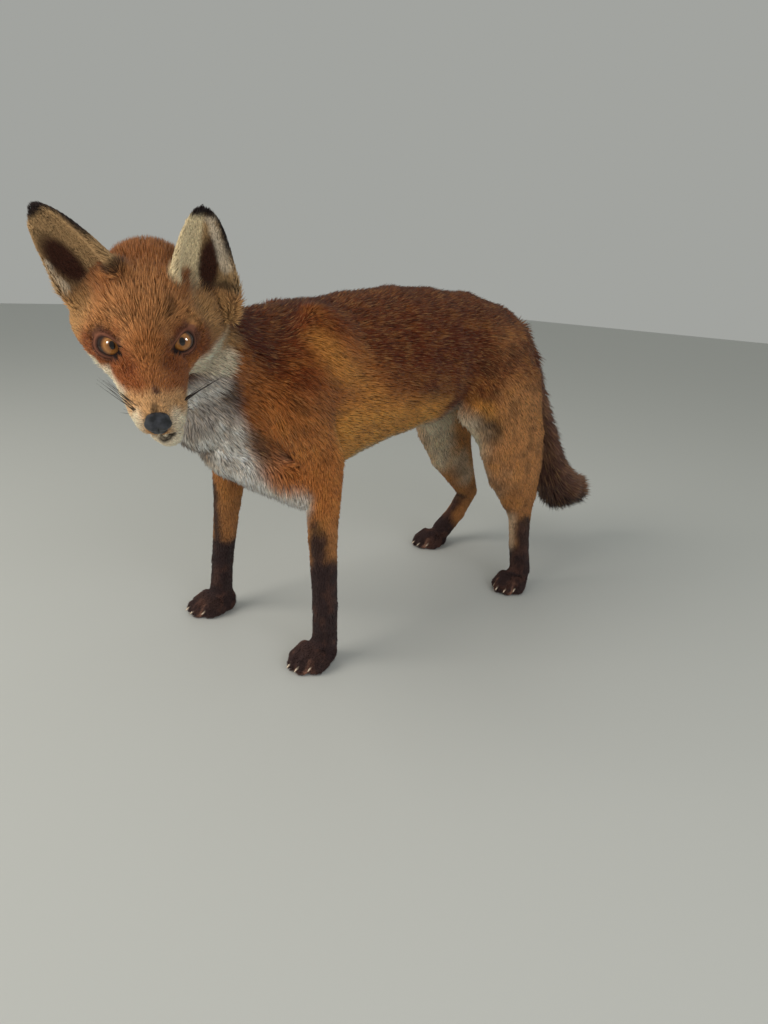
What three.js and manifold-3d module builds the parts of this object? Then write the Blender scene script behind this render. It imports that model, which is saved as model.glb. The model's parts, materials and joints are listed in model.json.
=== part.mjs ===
// A life-size mounted red fox, standing on four feet with its head turned to its left.
// Millimetres, +Z up. The fox faces -Y, its left side is +X, and the floor is Z = 0.
// The solids show the outline of the coat, out to the hair tips.
import * as THREE from "three";
import { mergeVertices } from "three/addons/utils/BufferGeometryUtils.js";
import Module from "manifold-3d";

const wasm = await Module();
wasm.setup();

const v = (x, y, z) => new THREE.Vector3(x, y, z);
const mix = (a, b, t) => a + (b - a) * t;
const radians = THREE.MathUtils.degToRad;

// ---------------------------------------------------------------- driving dimensions
const GAP = 0.3; // clearance between neighbouring solids
const SHORTEST_EDGE = 0.25; // shorter ones are drawn together
const BACK_HEIGHT = 371; // top of the arched back
const WITHERS_HEIGHT = 349; // top of the coat over the shoulder blades
const CHEST_HEIGHT = 166; // underside of the chest between the elbows
const CHEST_HALF_WIDTH = 60;
const EYE_RADIUS = 9.5;
const EYE_SPACING = 49; // between the centres of the eyeballs
const HALF_SPACE = 1500; // edge of the block that stands for one side of a cutting plane

// Each leg: where the middle of its sole stands, how many degrees its toes turn outwards, and its
// stations from the trunk down, each with x, y, z, half width and half depth. Below them is the foot.
const LEGS = {
  fore_left: {
    foot: v(83, -158, 0),
    out: 6,
    stations: [
      [50, -164, 250, 22, 34], // shoulder joint
      [60, -140, 206, 17, 24], // elbow
      [73, -148, 130, 13, 14.5], // forearm
      [83, -151, 62, 12, 12], // wrist
      [83, -150, 24, 13, 12], // pastern
    ],
  },
  fore_right: {
    foot: v(-83, -176, 0),
    out: 4,
    stations: [
      [-50, -186, 250, 22, 34],
      [-60, -168, 206, 17, 25],
      [-73, -168, 130, 13, 14.5],
      [-84, -168.5, 62, 11.5, 11.5],
      [-84, -171, 24, 12.5, 12],
    ],
  },
  hind_left: {
    foot: v(86, 162, 0),
    out: 10,
    stations: [
      [50, 152, 262, 27, 58], // hip
      [59, 164, 190, 24, 57], // knee
      [64, 171, 150, 19, 48], // calf
      [70, 175, 118, 15, 31],
      [74, 176, 94, 11.5, 17.5], // hock
      [80, 173, 56, 11.5, 13], // metatarsus
      [86, 173, 24, 12.5, 12.5],
    ],
  },
  hind_right: {
    foot: v(-86, 192, 0),
    out: 6,
    stations: [
      [-50, 152, 262, 27, 58],
      [-57, 164, 200, 24, 54],
      [-61, 184, 156, 19, 40],
      [-64, 208, 122, 15, 27],
      [-69, 240, 80, 11, 16],
      [-78, 228, 46, 11.5, 14],
      [-86, 210, 22, 13, 14],
    ],
  },
};

// The head's own frame has its origin midway between the eyes, -Y towards the nose and +Z to the crown.
const HEAD = { at: v(94, -332, 325), turn: 66.5, nod: 29, tilt: 5.5 };

// The opening between the lids and the nose pad, in the head's frame: half sizes across, along and up.
const LIDS = { ahead: 2, radii: [8.2, 9, 6] };
const NOSE = { at: [2.5, -70, -16], tip: 20, radii: [8.6, 7, 7.6] };

// Where each eyeball sits, and how many degrees its opening turns outwards and upwards.
const EYES = {
  left: { side: 1, at: [EYE_SPACING / 2, -2.3, 1.5], out: 23, up: 18 },
  right: { side: -1, at: [-EYE_SPACING / 2, -2.3, 1.5], out: 10, up: 21 },
};

// Triangle sizes: how far apart the sampling points stand in each region.
const GRID = { trunk: 24.9, neck: 21.5, head: 13, muzzle: 8, limb: 20, shank: 14.3, foot: 10, tail: 22 };

// ---------------------------------------------------------------- soft masses
// A mass is a round-ended bar with an elliptical section: `start` and `end` each give its half width
// along `side` and its half height across it.
function mass(from, to, start, end, blend, side = v(1, 0, 0)) {
  const along = to.clone().sub(from);
  const length = Math.max(along.length(), 1e-6);
  along.divideScalar(length);
  const wide = side.clone().addScaledVector(along, -side.dot(along)).normalize();
  const high = along.clone().cross(wide);
  return { from, along, length, wide, high, start, end, blend };
}

// Signed distance from a point to a mass, close to exact near its surface.
function distanceTo(m, x, y, z) {
  const px = x - m.from.x;
  const py = y - m.from.y;
  const pz = z - m.from.z;
  const s = px * m.along.x + py * m.along.y + pz * m.along.z;
  const t = Math.min(Math.max(s / m.length, 0), 1);
  const w = mix(m.start[0], m.end[0], t);
  const h = mix(m.start[1], m.end[1], t);
  const c = Math.min(w, h);
  const a = (px * m.wide.x + py * m.wide.y + pz * m.wide.z) / w;
  const b = (px * m.high.x + py * m.high.y + pz * m.high.z) / h;
  const e = (s - t * m.length) / c;
  const k0 = Math.sqrt(a * a + b * b + e * e);
  const k1 = Math.sqrt((a * a) / (w * w) + (b * b) / (h * h) + (e * e) / (c * c));
  return k1 > 1e-9 ? (k0 * (k0 - 1)) / k1 : -c;
}

// Signed distance to all masses, each melted into those before it over its own blend length.
function field(masses, x, y, z) {
  let d = 1e3;
  for (const m of masses) {
    const near = distanceTo(m, x, y, z);
    const overlap = Math.max(m.blend - Math.abs(d - near), 0) / m.blend;
    d = Math.min(d, near) - (overlap * overlap * m.blend) / 4;
  }
  return d;
}

// ---------------------------------------------------------------- surfaces from a field
// Surface nets: one vertex in each cell that the surface passes through, and one quad across each
// crossed edge. The cells lie along the axes of `frame`.
function surface(distance, low, high, spacing, frame = new THREE.Matrix4()) {
  const place = v(0, 0, 0);
  const n = high.clone().sub(low).divideScalar(spacing).ceil().addScalar(1);
  const [nx, ny, nz] = [n.x, n.y, n.z];
  const at = (i, j, k) => i + nx * (j + ny * k);
  const d = new Float64Array(nx * ny * nz);
  for (let k = 0; k < nz; k++)
    for (let j = 0; j < ny; j++)
      for (let i = 0; i < nx; i++) {
        const outside = i === 0 || j === 0 || k === 0 || i === nx - 1 || j === ny - 1 || k === nz - 1;
        place.set(low.x + i * spacing, low.y + j * spacing, low.z + k * spacing).applyMatrix4(frame);
        const q = distance(place.x, place.y, place.z);
        d[at(i, j, k)] = outside ? Math.max(q, spacing / 2) : q;
      }
  const corners = [0, 1, 2, 3, 4, 5, 6, 7].map((c) => [c & 1, (c >> 1) & 1, (c >> 2) & 1]);
  const edges = [];
  const apart = (p, q) => Math.abs(p[0] - q[0]) + Math.abs(p[1] - q[1]) + Math.abs(p[2] - q[2]);
  corners.forEach((p, a) =>
    corners.forEach((q, b) => {
      if (a < b && apart(p, q) === 1) edges.push([a, b]);
    }),
  );
  const cell = new Map();
  const places = [];
  for (let k = 0; k < nz - 1; k++)
    for (let j = 0; j < ny - 1; j++)
      for (let i = 0; i < nx - 1; i++) {
        const value = corners.map(([a, b, c]) => d[at(i + a, j + b, k + c)]);
        const sum = [0, 0, 0];
        let crossings = 0;
        for (const [a, b] of edges) {
          if (value[a] < 0 === value[b] < 0) continue;
          const t = value[a] / (value[a] - value[b]);
          for (let c = 0; c < 3; c++) sum[c] += mix(corners[a][c], corners[b][c], t);
          crossings++;
        }
        if (!crossings) continue;
        cell.set(at(i, j, k), places.length / 3);
        place.set(i, j, k).addScaledVector(v(...sum), 1 / crossings).multiplyScalar(spacing).add(low);
        places.push(...place.applyMatrix4(frame).toArray());
      }
  const faces = [];
  const step = [1, nx, nx * ny];
  const quad = (a, b, c, e, flip) => {
    const q = [a, b, c, e].map((o) => cell.get(o));
    if (flip) q.reverse();
    const gap = (m, o) => Math.hypot(...[0, 1, 2].map((c) => places[3 * q[m] + c] - places[3 * q[o] + c]));
    if (gap(0, 2) < gap(1, 3)) faces.push(q[0], q[1], q[2], q[0], q[2], q[3]);
    else faces.push(q[1], q[2], q[3], q[1], q[3], q[0]);
  };
  for (let k = 0; k < nz - 1; k++)
    for (let j = 0; j < ny - 1; j++)
      for (let i = 0; i < nx - 1; i++)
        for (let axis = 0; axis < 3; axis++) {
          const o = at(i, j, k);
          const inside = d[o] < 0;
          if (inside === d[o + step[axis]] < 0) continue;
          const s = step[(axis + 1) % 3];
          const t = step[(axis + 2) % 3];
          quad(o, o - s, o - s - t, o - t, !inside);
        }
  return solid(places, faces);
}

function solid(places, faces) {
  const made = new wasm.Mesh({
    numProp: 3,
    vertProperties: new Float32Array(places),
    triVerts: new Uint32Array(faces),
  });
  return new wasm.Manifold(made);
}

// A three.js geometry, placed by a matrix, as a solid.
function solidOf(geometry, matrix = new THREE.Matrix4()) {
  const bare = geometry.clone().applyMatrix4(matrix);
  bare.deleteAttribute("normal");
  bare.deleteAttribute("uv");
  const merged = mergeVertices(bare, 1e-4);
  return solid(merged.attributes.position.array, merged.index.array);
}

// Cuts leave very short edges: each is drawn together into one point, wherever the surface stays closed.
function drawTogether(places, faces, shortest) {
  const point = (i) => v(...places.slice(3 * i, 3 * i + 3));
  for (;;) {
    const neighbours = new Map();
    for (let f = 0; f < faces.length; f += 3)
      for (let c = 0; c < 3; c++) {
        const [a, b] = [faces[f + c], faces[f + ((c + 1) % 3)]];
        if (!neighbours.has(a)) neighbours.set(a, new Set());
        neighbours.get(a).add(b);
      }
    let found = null;
    for (const [a, around] of neighbours) {
      for (const b of around) {
        if (a > b || point(a).distanceTo(point(b)) > shortest) continue;
        const shared = [...around].filter((c) => neighbours.get(b).has(c));
        if (shared.length === 2) found = [a, b];
      }
      if (found) break;
    }
    if (!found) return faces;
    const [kept, gone] = found;
    const next = [];
    for (let f = 0; f < faces.length; f += 3) {
      const [a, b, c] = [0, 1, 2].map((o) => (faces[f + o] === gone ? kept : faces[f + o]));
      if (a !== b && b !== c && c !== a) next.push(a, b, c);
    }
    faces = next;
  }
}

// A solid's shape as a three.js mesh of its own.
function meshOf(name, shape, material) {
  const got = shape.getMesh();
  const places = [];
  for (let i = 0; i < got.numVert; i++)
    places.push(...got.vertProperties.subarray(i * got.numProp, i * got.numProp + 3));
  const faces = drawTogether(places, [...got.triVerts], SHORTEST_EDGE);
  const geometry = new THREE.BufferGeometry()
    .setAttribute("position", new THREE.Float32BufferAttribute(places, 3))
    .setIndex(faces);
  geometry.computeVertexNormals();
  const mesh = new THREE.Mesh(geometry, material);
  mesh.name = name;
  return mesh;
}

// A half space as a very large block: everything behind the plane through `point`, which faces `normal`.
function behind(point, normal, clearance = 0) {
  const size = HALF_SPACE;
  const n = normal.clone().normalize();
  const turn = new THREE.Quaternion().setFromUnitVectors(v(0, 0, 1), n);
  const centre = point.clone().addScaledVector(n, -size / 2 - clearance);
  const matrix = new THREE.Matrix4().compose(centre, turn, v(1, 1, 1));
  return solidOf(new THREE.BoxGeometry(size, size, size), matrix);
}

// ---------------------------------------------------------------- the head's frame
const headMatrix = new THREE.Matrix4()
  .makeTranslation(HEAD.at.x, HEAD.at.y, HEAD.at.z)
  .multiply(new THREE.Matrix4().makeRotationZ(radians(HEAD.turn)))
  .multiply(new THREE.Matrix4().makeRotationX(radians(HEAD.nod)))
  .multiply(new THREE.Matrix4().makeRotationY(radians(-HEAD.tilt)));
const inHead = (x, y, z) => v(x, y, z).applyMatrix4(headMatrix);
const headDirection = (x, y, z) => v(x, y, z).transformDirection(headMatrix);
const SIDES = [1, -1];

// The left ear stands upright and the right one leans out to the side.
const EARS = {
  left: { side: 1, root: [35.8, 46, 13.4], out: 12.7, back: 13.5, turn: 20, width: 30, height: 61.2 },
  right: { side: -1, root: [-23.5, 47, 28.5], out: 37.6, back: 12.1, turn: -8, width: 26.7, height: 60.3 },
};

function earMatrix({ side, root, out, back, turn }) {
  return headMatrix
    .clone()
    .multiply(new THREE.Matrix4().makeTranslation(...root))
    .multiply(new THREE.Matrix4().makeRotationY(radians(side * out)))
    .multiply(new THREE.Matrix4().makeRotationX(radians(-back)))
    .multiply(new THREE.Matrix4().makeRotationZ(radians(turn)));
}

function headMasses() {
  const across = headDirection(1, 0, 0);
  const bar = (a, b, start, end, blend) => mass(inHead(...a), inHead(...b), start, end, blend, across);
  const earPads = Object.values(EARS).flatMap((ear) => {
    const inEar = (x, y, z) => v(x, y, z).applyMatrix4(earMatrix(ear));
    const innerStart = inEar(-ear.side * 8, -13, -8);
    const innerEnd = inEar(-ear.side * 18, -16, 2);
    return [
      mass(inEar(0, -9, -14), inEar(0, -6, -4), [19, 13], [15, 9], 14, across),
      mass(innerStart, innerEnd, [11, 11], [8.5, 8], 14, across),
    ];
  });
  return [
    ...earPads,
    bar([2, 16, 8], [8, 50, 17], [37, 29], [35, 32], 1), // braincase
    bar([0, -10, 4], [1, 22, 12], [19, 16], [32, 24], 16), // forehead
    bar([0, -6, -6], [2, -60, -16], [16, 16], [12.5, 11], 13), // bridge of the nose
    bar([2, -62, -18], [2.5, -67, -18], [12.5, 11.5], [9.5, 9.5], 6), // end of the muzzle
    bar([10, -32, -22], [11, -58, -24.5], [10.5, 11.5], [9.5, 9], 8), // left whisker pad
    bar([-8, -32, -22], [-5, -57, -23], [10, 10.5], [7.5, 8.5], 8), // right whisker pad
    bar([17, -12, -12], [12, -48, -18], [13, 13], [10, 10], 10), // left side of the muzzle
    bar([-16, -12, -12], [-8, -48, -18], [13, 13], [7.5, 10], 10), // right side of the muzzle
    bar([24, -2, 0], [37, 30, -4], [12, 13], [13, 17], 14), // left cheekbone
    bar([-24, -2, 0], [-37, 32, -1], [12, 13], [14, 19], 14), // right cheekbone
    bar([-27, 18, -16], [-32, 46, -10], [13.5, 19], [12.5, 22], 18), // ruff on the turn's outer side
    bar([33, 18, -20], [46, 46, -18], [16, 22], [18, 27], 22), // ruff pushed out by the turned neck
    bar([1, 14, -36], [6, -50, -41], [20, 11], [11, 7], 12), // lower jaw
    bar([8, -52, -42], [8.5, -57, -41.5], [10, 7.5], [8.5, 6.5], 6), // chin
    bar([0, 8, -28], [0, 60, -30], [24, 20], [34, 32], 24), // throat
  ];
}

function bodyMasses() {
  const across = v(1, 0, 0);
  const bar = (a, b, start, end, blend) => mass(v(...a), v(...b), start, end, blend, across);
  const skullBase = inHead(0, 52, -13);
  const trunk = [
    // y, height of the middle, half width, half height
    [-236, 250, 36, 38],
    [-200, 256, 50, 78],
    [-155, (WITHERS_HEIGHT + CHEST_HEIGHT) / 2, 56, (WITHERS_HEIGHT - CHEST_HEIGHT) / 2],
    [-110, 265, CHEST_HALF_WIDTH, 91],
    [-60, 277, CHEST_HALF_WIDTH, 87],
    [0, BACK_HEIGHT - 84, CHEST_HALF_WIDTH, 84],
    [50, BACK_HEIGHT - 81, 57, 81],
    [110, 297, 51, 71],
    [172, 292, 47, 62],
    [214, 288, 34, 42],
  ];
  const masses = [];
  for (let i = 1; i < trunk.length; i++) {
    const [y0, z0, w0, h0] = trunk[i - 1];
    const [y1, z1, w1, h1] = trunk[i];
    masses.push(bar([0, y0, z0], [0, y1, z1], [w0, h0], [w1, h1], 4));
  }
  masses.push(
    mass(v(0, -205, 286), v(14, -262, 316), [50, 56], [46, 50], 30, across), // base of the neck
    mass(v(14, -262, 316), skullBase, [44, 48], [40, 36], 26, across), // upper neck
    bar([24, -194, 198], [54, -160, 182], [24, 24], [20, 24], 14), // fold of the brisket
  );
  for (const s of SIDES) {
    masses.push(
      bar([s * 34, -118, 319], [s * 50, -168, 258], [24, 38], [25, 36], 24), // shoulder blade
      bar([s * 32, 150, 300], [s * 50, 152, 240], [30, 56], [27, 58], 26), // haunch
      bar([s * 44, 140, 212], [s * 42, 104, 236], [18, 34], [16, 28], 22), // fold of the flank
    );
  }
  return masses;
}

function legMasses({ stations }) {
  return stations.slice(1).map(([x, y, z, w, h], i) => {
    const [x0, y0, z0, w0, h0] = stations[i];
    return mass(v(x0, y0, z0), v(x, y, z), [w0, h0], [w, h], i === 0 ? 12 : 3);
  });
}

// Frame of a foot: origin on the floor under its middle, -Y towards the toes.
function footMatrix({ foot, out }, side) {
  return new THREE.Matrix4()
    .makeTranslation(foot.x, foot.y, 0)
    .multiply(new THREE.Matrix4().makeRotationZ(radians(side * out)));
}

// Toes from the inside of the foot outwards: place of the knuckle, and how far each reaches forwards.
const TOES = [
  { x: -14, y: -6, reach: 10 },
  { x: -5.5, y: -12, reach: 14 },
  { x: 5.5, y: -12, reach: 14 },
  { x: 14, y: -6, reach: 10 },
];

function footMasses(matrix) {
  const at = (x, y, z) => v(x, y, z).applyMatrix4(matrix);
  const across = v(1, 0, 0).transformDirection(matrix);
  return [
    mass(at(0, 5, 10), at(0, -10, 9), [14.5, 14.5], [16.5, 14], 8, across), // ball of the foot
    ...TOES.map(({ x, y, reach }) =>
      mass(at(x * 0.8, y, 10), at(x, y - reach, 6), [8, 12], [7, 10], 5, across),
    ),
  ];
}

// ---------------------------------------------------------------- tail
const TAIL_PATH = new THREE.CatmullRomCurve3([
  v(0, 224, 314),
  v(1, 250, 282),
  v(3, 269, 232),
  v(8, 292, 176),
  v(14, 315, 124),
  v(18, 345, 92),
  v(20, 378, 84),
]);
const TAIL_RADII = [22, 22, 24, 28, 31, 33, 27];

function tailMasses() {
  const masses = [];
  for (let i = 1; i < TAIL_RADII.length; i++) {
    const [a, b] = [TAIL_PATH.points[i - 1], TAIL_PATH.points[i]];
    const [r0, r1] = [TAIL_RADII[i - 1], TAIL_RADII[i]];
    masses.push(mass(a, b, [r0, r0], [r1, r1], 4));
  }
  return masses;
}

// ---------------------------------------------------------------- ears, claws
// An ear is a cupped leaf. Its frame has its origin at the root, +Z to the tip, and its cup opens
// towards -Y. Each pair is the value at the root and at the tip.
const EAR = { rows: 6, columns: 7, thickness: [9, 3], cup: [86, 48], lean: 4, tip: 1.6 };

function earShape(matrix, width, height) {
  const { rows, columns } = EAR;
  const thickness = (t) => mix(...EAR.thickness, Math.sqrt(t));
  const halfWidth = (t) => Math.max(width * (1 - t ** 1.9) ** 0.7, EAR.tip);
  const cup = (t) => radians(mix(...EAR.cup, t));
  const places = [];
  for (const layer of [0, 1])
    for (let i = 0; i <= rows; i++)
      for (let j = 0; j <= columns; j++) {
        const t = Math.sin((i / rows) * (Math.PI / 2));
        const w = halfWidth(t);
        const bend = cup(t);
        const radius = w / Math.sin(bend);
        const angle = bend * ((2 * j) / columns - 1);
        const r = Math.max(radius - layer * thickness(t), radius * 0.25);
        const y = r * Math.cos(angle) - radius - EAR.lean * t * t;
        const p = v(r * Math.sin(angle), y, height * t);
        places.push(...p.applyMatrix4(matrix).toArray());
      }
  const at = (layer, i, j) => (layer * (rows + 1) + i) * (columns + 1) + j;
  const faces = [];
  const quad = (a, b, c, d) => faces.push(a, b, c, a, c, d);
  for (let i = 0; i < rows; i++)
    for (let j = 0; j < columns; j++) {
      quad(at(0, i, j), at(0, i + 1, j), at(0, i + 1, j + 1), at(0, i, j + 1));
      quad(at(1, i, j), at(1, i, j + 1), at(1, i + 1, j + 1), at(1, i + 1, j));
    }
  for (let i = 0; i < rows; i++) {
    quad(at(0, i, 0), at(1, i, 0), at(1, i + 1, 0), at(0, i + 1, 0));
    quad(at(0, i, columns), at(0, i + 1, columns), at(1, i + 1, columns), at(1, i, columns));
  }
  for (let j = 0; j < columns; j++) {
    quad(at(0, 0, j), at(0, 0, j + 1), at(1, 0, j + 1), at(1, 0, j));
    quad(at(0, rows, j), at(1, rows, j), at(1, rows, j + 1), at(0, rows, j + 1));
  }
  const made = solid(places, faces);
  return made.volume() > 0 ? made : solid(places, faces.reverse());
}

// A claw is a short cone that curves down towards its point.
const CLAW = { length: 13, radius: 2.2, tip: 0.3, narrow: 0.8, droop: 40, sides: 4, rings: 2 };

function clawShape(matrix) {
  const places = [];
  const faces = [];
  const { sides, rings } = CLAW;
  for (let i = 0; i <= rings; i++) {
    const t = i / rings;
    const angle = radians(CLAW.droop) * t;
    const centre = v(0, -CLAW.length * t, -CLAW.length * t * Math.tan(angle / 2));
    const r = CLAW.radius * Math.sqrt(1 - t) + CLAW.tip;
    for (let j = 0; j < sides; j++) {
      const a = (2 * Math.PI * j) / sides;
      const [across, up] = [CLAW.narrow * r * Math.cos(a), r * Math.sin(a)];
      const p = v(across, -up * Math.sin(angle), up * Math.cos(angle));
      places.push(...p.add(centre).applyMatrix4(matrix).toArray());
    }
  }
  for (let i = 0; i < rings; i++)
    for (let j = 0; j < sides; j++) {
      const [a, b] = [i * sides + j, i * sides + ((j + 1) % sides)];
      faces.push(a, b, b + sides, a, b + sides, a + sides);
    }
  for (let j = 1; j < sides - 1; j++) {
    faces.push(0, j + 1, j);
    faces.push(rings * sides, rings * sides + j, rings * sides + j + 1);
  }
  const made = solid(places, faces);
  return made.volume() > 0 ? made : solid(places, faces.reverse());
}

// ---------------------------------------------------------------- materials
const paint = (color, roughness = 0.85) =>
  new THREE.MeshStandardMaterial({ color, roughness, metalness: 0 });
const MATERIALS = {
  red: paint(0x9a5a2c),
  flank: paint(0xa8682f),
  grey: paint(0x7a5f45),
  stocking: paint(0x2b211d),
  brush: paint(0x4c3a2b),
  ear: paint(0xb49a72),
  eye: paint(0xb77a2a, 0.08),
  nose: paint(0x1c1d22, 0.35),
  claw: paint(0x4a4038, 0.4),
};

// ---------------------------------------------------------------- the whole body as one field
const sideOf = (name) => (name.endsWith("left") ? 1 : -1);
const footFrames = Object.fromEntries(
  Object.entries(LEGS).map(([name, leg]) => [name, footMatrix(leg, sideOf(name))]),
);
const everything = [
  ...bodyMasses(),
  ...headMasses(),
  ...tailMasses(),
  ...Object.values(LEGS).flatMap(legMasses),
  ...Object.values(footFrames).flatMap(footMasses),
];
const coat = (x, y, z) => field(everything, x, y, z);
const grown = (x, y, z) => coat(x, y, z) - 3 * GAP;

const fox = new THREE.Group();
const add = (name, shape, material) => fox.add(meshOf(name, shape, material));
const largest = (shape) => shape.decompose().sort((a, b) => b.volume() - a.volume())[0];

// A block between two corners, grown outwards all round, along the axes of `frame`.
function block(low, high, growth = 0, frame = new THREE.Matrix4()) {
  const size = high.clone().sub(low).addScalar(2 * growth);
  const centre = low.clone().add(high).multiplyScalar(0.5);
  const matrix = frame.clone().multiply(new THREE.Matrix4().makeTranslation(centre.x, centre.y, centre.z));
  return solidOf(new THREE.BoxGeometry(size.x, size.y, size.z), matrix);
}

// Planes that part the body, each with a point on it and the direction it faces: forwards or down.
const CUTS = {
  neck: { at: v(0, -216, 290), to: v(0.1, -1, 0.35) },
  chest: { at: v(0, -84, 280), to: v(0, -1, 0) },
  loin: { at: v(0, 60, 280), to: v(0, -1, 0) },
  tail: { at: v(0, 236, 304), to: v(0, -1, 0.3) },
  brush: { at: TAIL_PATH.getPoint(0.42), to: TAIL_PATH.getTangent(0.42).negate() },
  tip: { at: TAIL_PATH.getPoint(0.74), to: TAIL_PATH.getTangent(0.74).negate() },
  elbow: { at: v(0, -120, 208), to: v(0, 0.2, -1) },
  wrist: { at: v(0, -170, 66), to: v(0, 0, -1) },
  knee: { at: v(0, 160, 190), to: v(0, -0.2, -1) },
  hock: { at: v(0, 210, 98), to: v(0, 0.2, -1) },
  fetlock: { at: v(0, 180, 34), to: v(0, -0.25, -1) },
};
const ahead = ({ at, to }) => behind(at, to.clone().negate(), GAP / 2);
const aft = ({ at, to }) => behind(at, to, GAP / 2);
const cutTo = (shape, ...cutters) => largest(cutters.reduce((s, c) => s.intersect(c), shape));

// Head and muzzle, less the hollows for the eyes and the nose pad.
const HEAD_BLOCK = [v(-100, -24, -60), v(100, 46, 140)];
const MUZZLE_BLOCK = [v(-60, -110, -60), v(60, -24, 60)];
const headPart = ([low, high], spacing, growth = 0) => {
  const margin = v(spacing, spacing, spacing).multiplyScalar(1.5);
  const shape = surface(
    growth ? grown : coat,
    low.clone().sub(margin),
    high.clone().add(margin),
    spacing,
    headMatrix,
  );
  return growth ? shape : largest(shape.intersect(block(low, high, -GAP / 2, headMatrix)));
};
const eyeball = (eye, radius) => {
  const at = inHead(...eye.at);
  const matrix = new THREE.Matrix4().makeTranslation(at.x, at.y, at.z);
  return solidOf(new THREE.SphereGeometry(radius, 12, 7), matrix);
};
const lidOpening = ({ side, at, out, up }) =>
  solidOf(
    new THREE.SphereGeometry(1, 10, 6),
    headMatrix
      .clone()
      .multiply(new THREE.Matrix4().makeTranslation(...at))
      .multiply(new THREE.Matrix4().makeRotationZ(radians(side * out)))
      .multiply(new THREE.Matrix4().makeRotationX(radians(-up)))
      .multiply(new THREE.Matrix4().makeTranslation(0, -EYE_RADIUS - LIDS.ahead, 0))
      .multiply(new THREE.Matrix4().makeScale(...LIDS.radii)),
  );
const nosePad = (growth) =>
  solidOf(
    new THREE.SphereGeometry(1, 12, 8),
    headMatrix
      .clone()
      .multiply(new THREE.Matrix4().makeTranslation(...NOSE.at))
      .multiply(new THREE.Matrix4().makeRotationX(radians(NOSE.tip)))
      .multiply(new THREE.Matrix4().makeScale(...NOSE.radii.map((r) => r + growth))),
  );
const sockets = Object.values(EYES).flatMap((eye) => [eyeball(eye, EYE_RADIUS + GAP), lidOpening(eye)]);
const head = sockets.reduce((shape, socket) => shape.subtract(socket), headPart(HEAD_BLOCK, GRID.head));
add("head", head, MATERIALS.red);
add("muzzle", headPart(MUZZLE_BLOCK, GRID.muzzle).subtract(nosePad(GAP)), MATERIALS.red);
add("eye_left", eyeball(EYES.left, EYE_RADIUS), MATERIALS.eye);
add("eye_right", eyeball(EYES.right, EYE_RADIUS), MATERIALS.eye);
add("nose", nosePad(0), MATERIALS.nose);
const headGrown = headPart([v(-100, -24, -60), v(100, 100, 140)], GRID.head, GAP);
const NECK_REGION = [v(-110, -400, 150), v(160, -120, 450)];
const neckGrown = surface(grown, ...NECK_REGION, GRID.neck);
for (const [name, ear] of Object.entries(EARS)) {
  const shape = earShape(earMatrix(ear), ear.width, ear.height);
  add("ear_" + name, largest(shape.subtract(headGrown).subtract(neckGrown)), MATERIALS.ear);
}

// Legs: everything in the block beside the trunk, parted at the joints.
const BLOCKS = {
  fore: { inner: 36, outer: 200, front: -236, back: -92, top: 292 },
  hind: { inner: 30, outer: 200, front: 68, back: 330, top: 306 },
};
const inOrder = (a, b) => [Math.min(a, b), Math.max(a, b)];
const legBlock = (s, { inner, outer, front, back, top }, growth) => {
  const [x0, x1] = inOrder(s * (inner - growth), s * outer);
  return block(v(x0, front - growth, -20), v(x1, back + growth, top + growth));
};
// How far a leg's sampled region runs past its block, and where its outer side stands.
const LEG_REGION = { margin: 14, outer: 140 };
const ABOVE_FLOOR = behind(v(0, 0, 0), v(0, 0, -1));
const clawMatrix = ({ x, y, reach }) => new THREE.Matrix4().makeTranslation(x, y - reach + 1, 10);
let trunkLess = null;
for (const name of Object.keys(LEGS)) {
  const s = sideOf(name);
  const fore = name.startsWith("fore");
  const legRoom = BLOCKS[fore ? "fore" : "hind"];
  const own = legBlock(s, legRoom, 0);
  const clear = legBlock(s, legRoom, GAP);
  trunkLess = trunkLess ? trunkLess.add(clear) : clear;
  const { margin, outer } = LEG_REGION;
  const [x0, x1] = inOrder(s * (legRoom.inner - margin), s * outer);
  const region = (z0, z1) => [v(x0, legRoom.front - margin, z0), v(x1, legRoom.back + margin, z1)];
  const put = (part, material, spacing, low, high, ...cutters) => {
    const shape = cutTo(surface(coat, ...region(low, high), spacing), own, ...cutters);
    add(part + (s > 0 ? "_left" : "_right"), shape, material);
  };
  const { flank, stocking } = MATERIALS;
  if (fore) {
    put("shoulder", flank, GRID.limb, 150, 330, aft(CUTS.elbow), aft(CUTS.neck));
    put("forearm", flank, GRID.shank, 40, 250, ahead(CUTS.elbow), aft(CUTS.wrist));
    put("forepaw", stocking, GRID.foot, -14, 90, ahead(CUTS.wrist), ABOVE_FLOOR);
  } else {
    put("thigh", flank, GRID.limb, 130, 340, aft(CUTS.knee));
    put("shank", flank, GRID.shank, 60, 300, ahead(CUTS.knee), aft(CUTS.hock));
    put("hock", stocking, GRID.shank, 10, 150, ahead(CUTS.hock), aft(CUTS.fetlock));
    put("hindpaw", stocking, GRID.foot, -14, 90, ahead(CUTS.fetlock), ABOVE_FLOOR);
  }
  const pawGrown = surface(grown, ...region(-14, 60), GRID.foot);
  TOES.forEach((toe, i) => {
    const claw = clawShape(footFrames[name].clone().multiply(clawMatrix(toe)));
    add(`claw_${name}_${i + 1}`, largest(claw.subtract(pawGrown)), MATERIALS.claw);
  });
}

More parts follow.
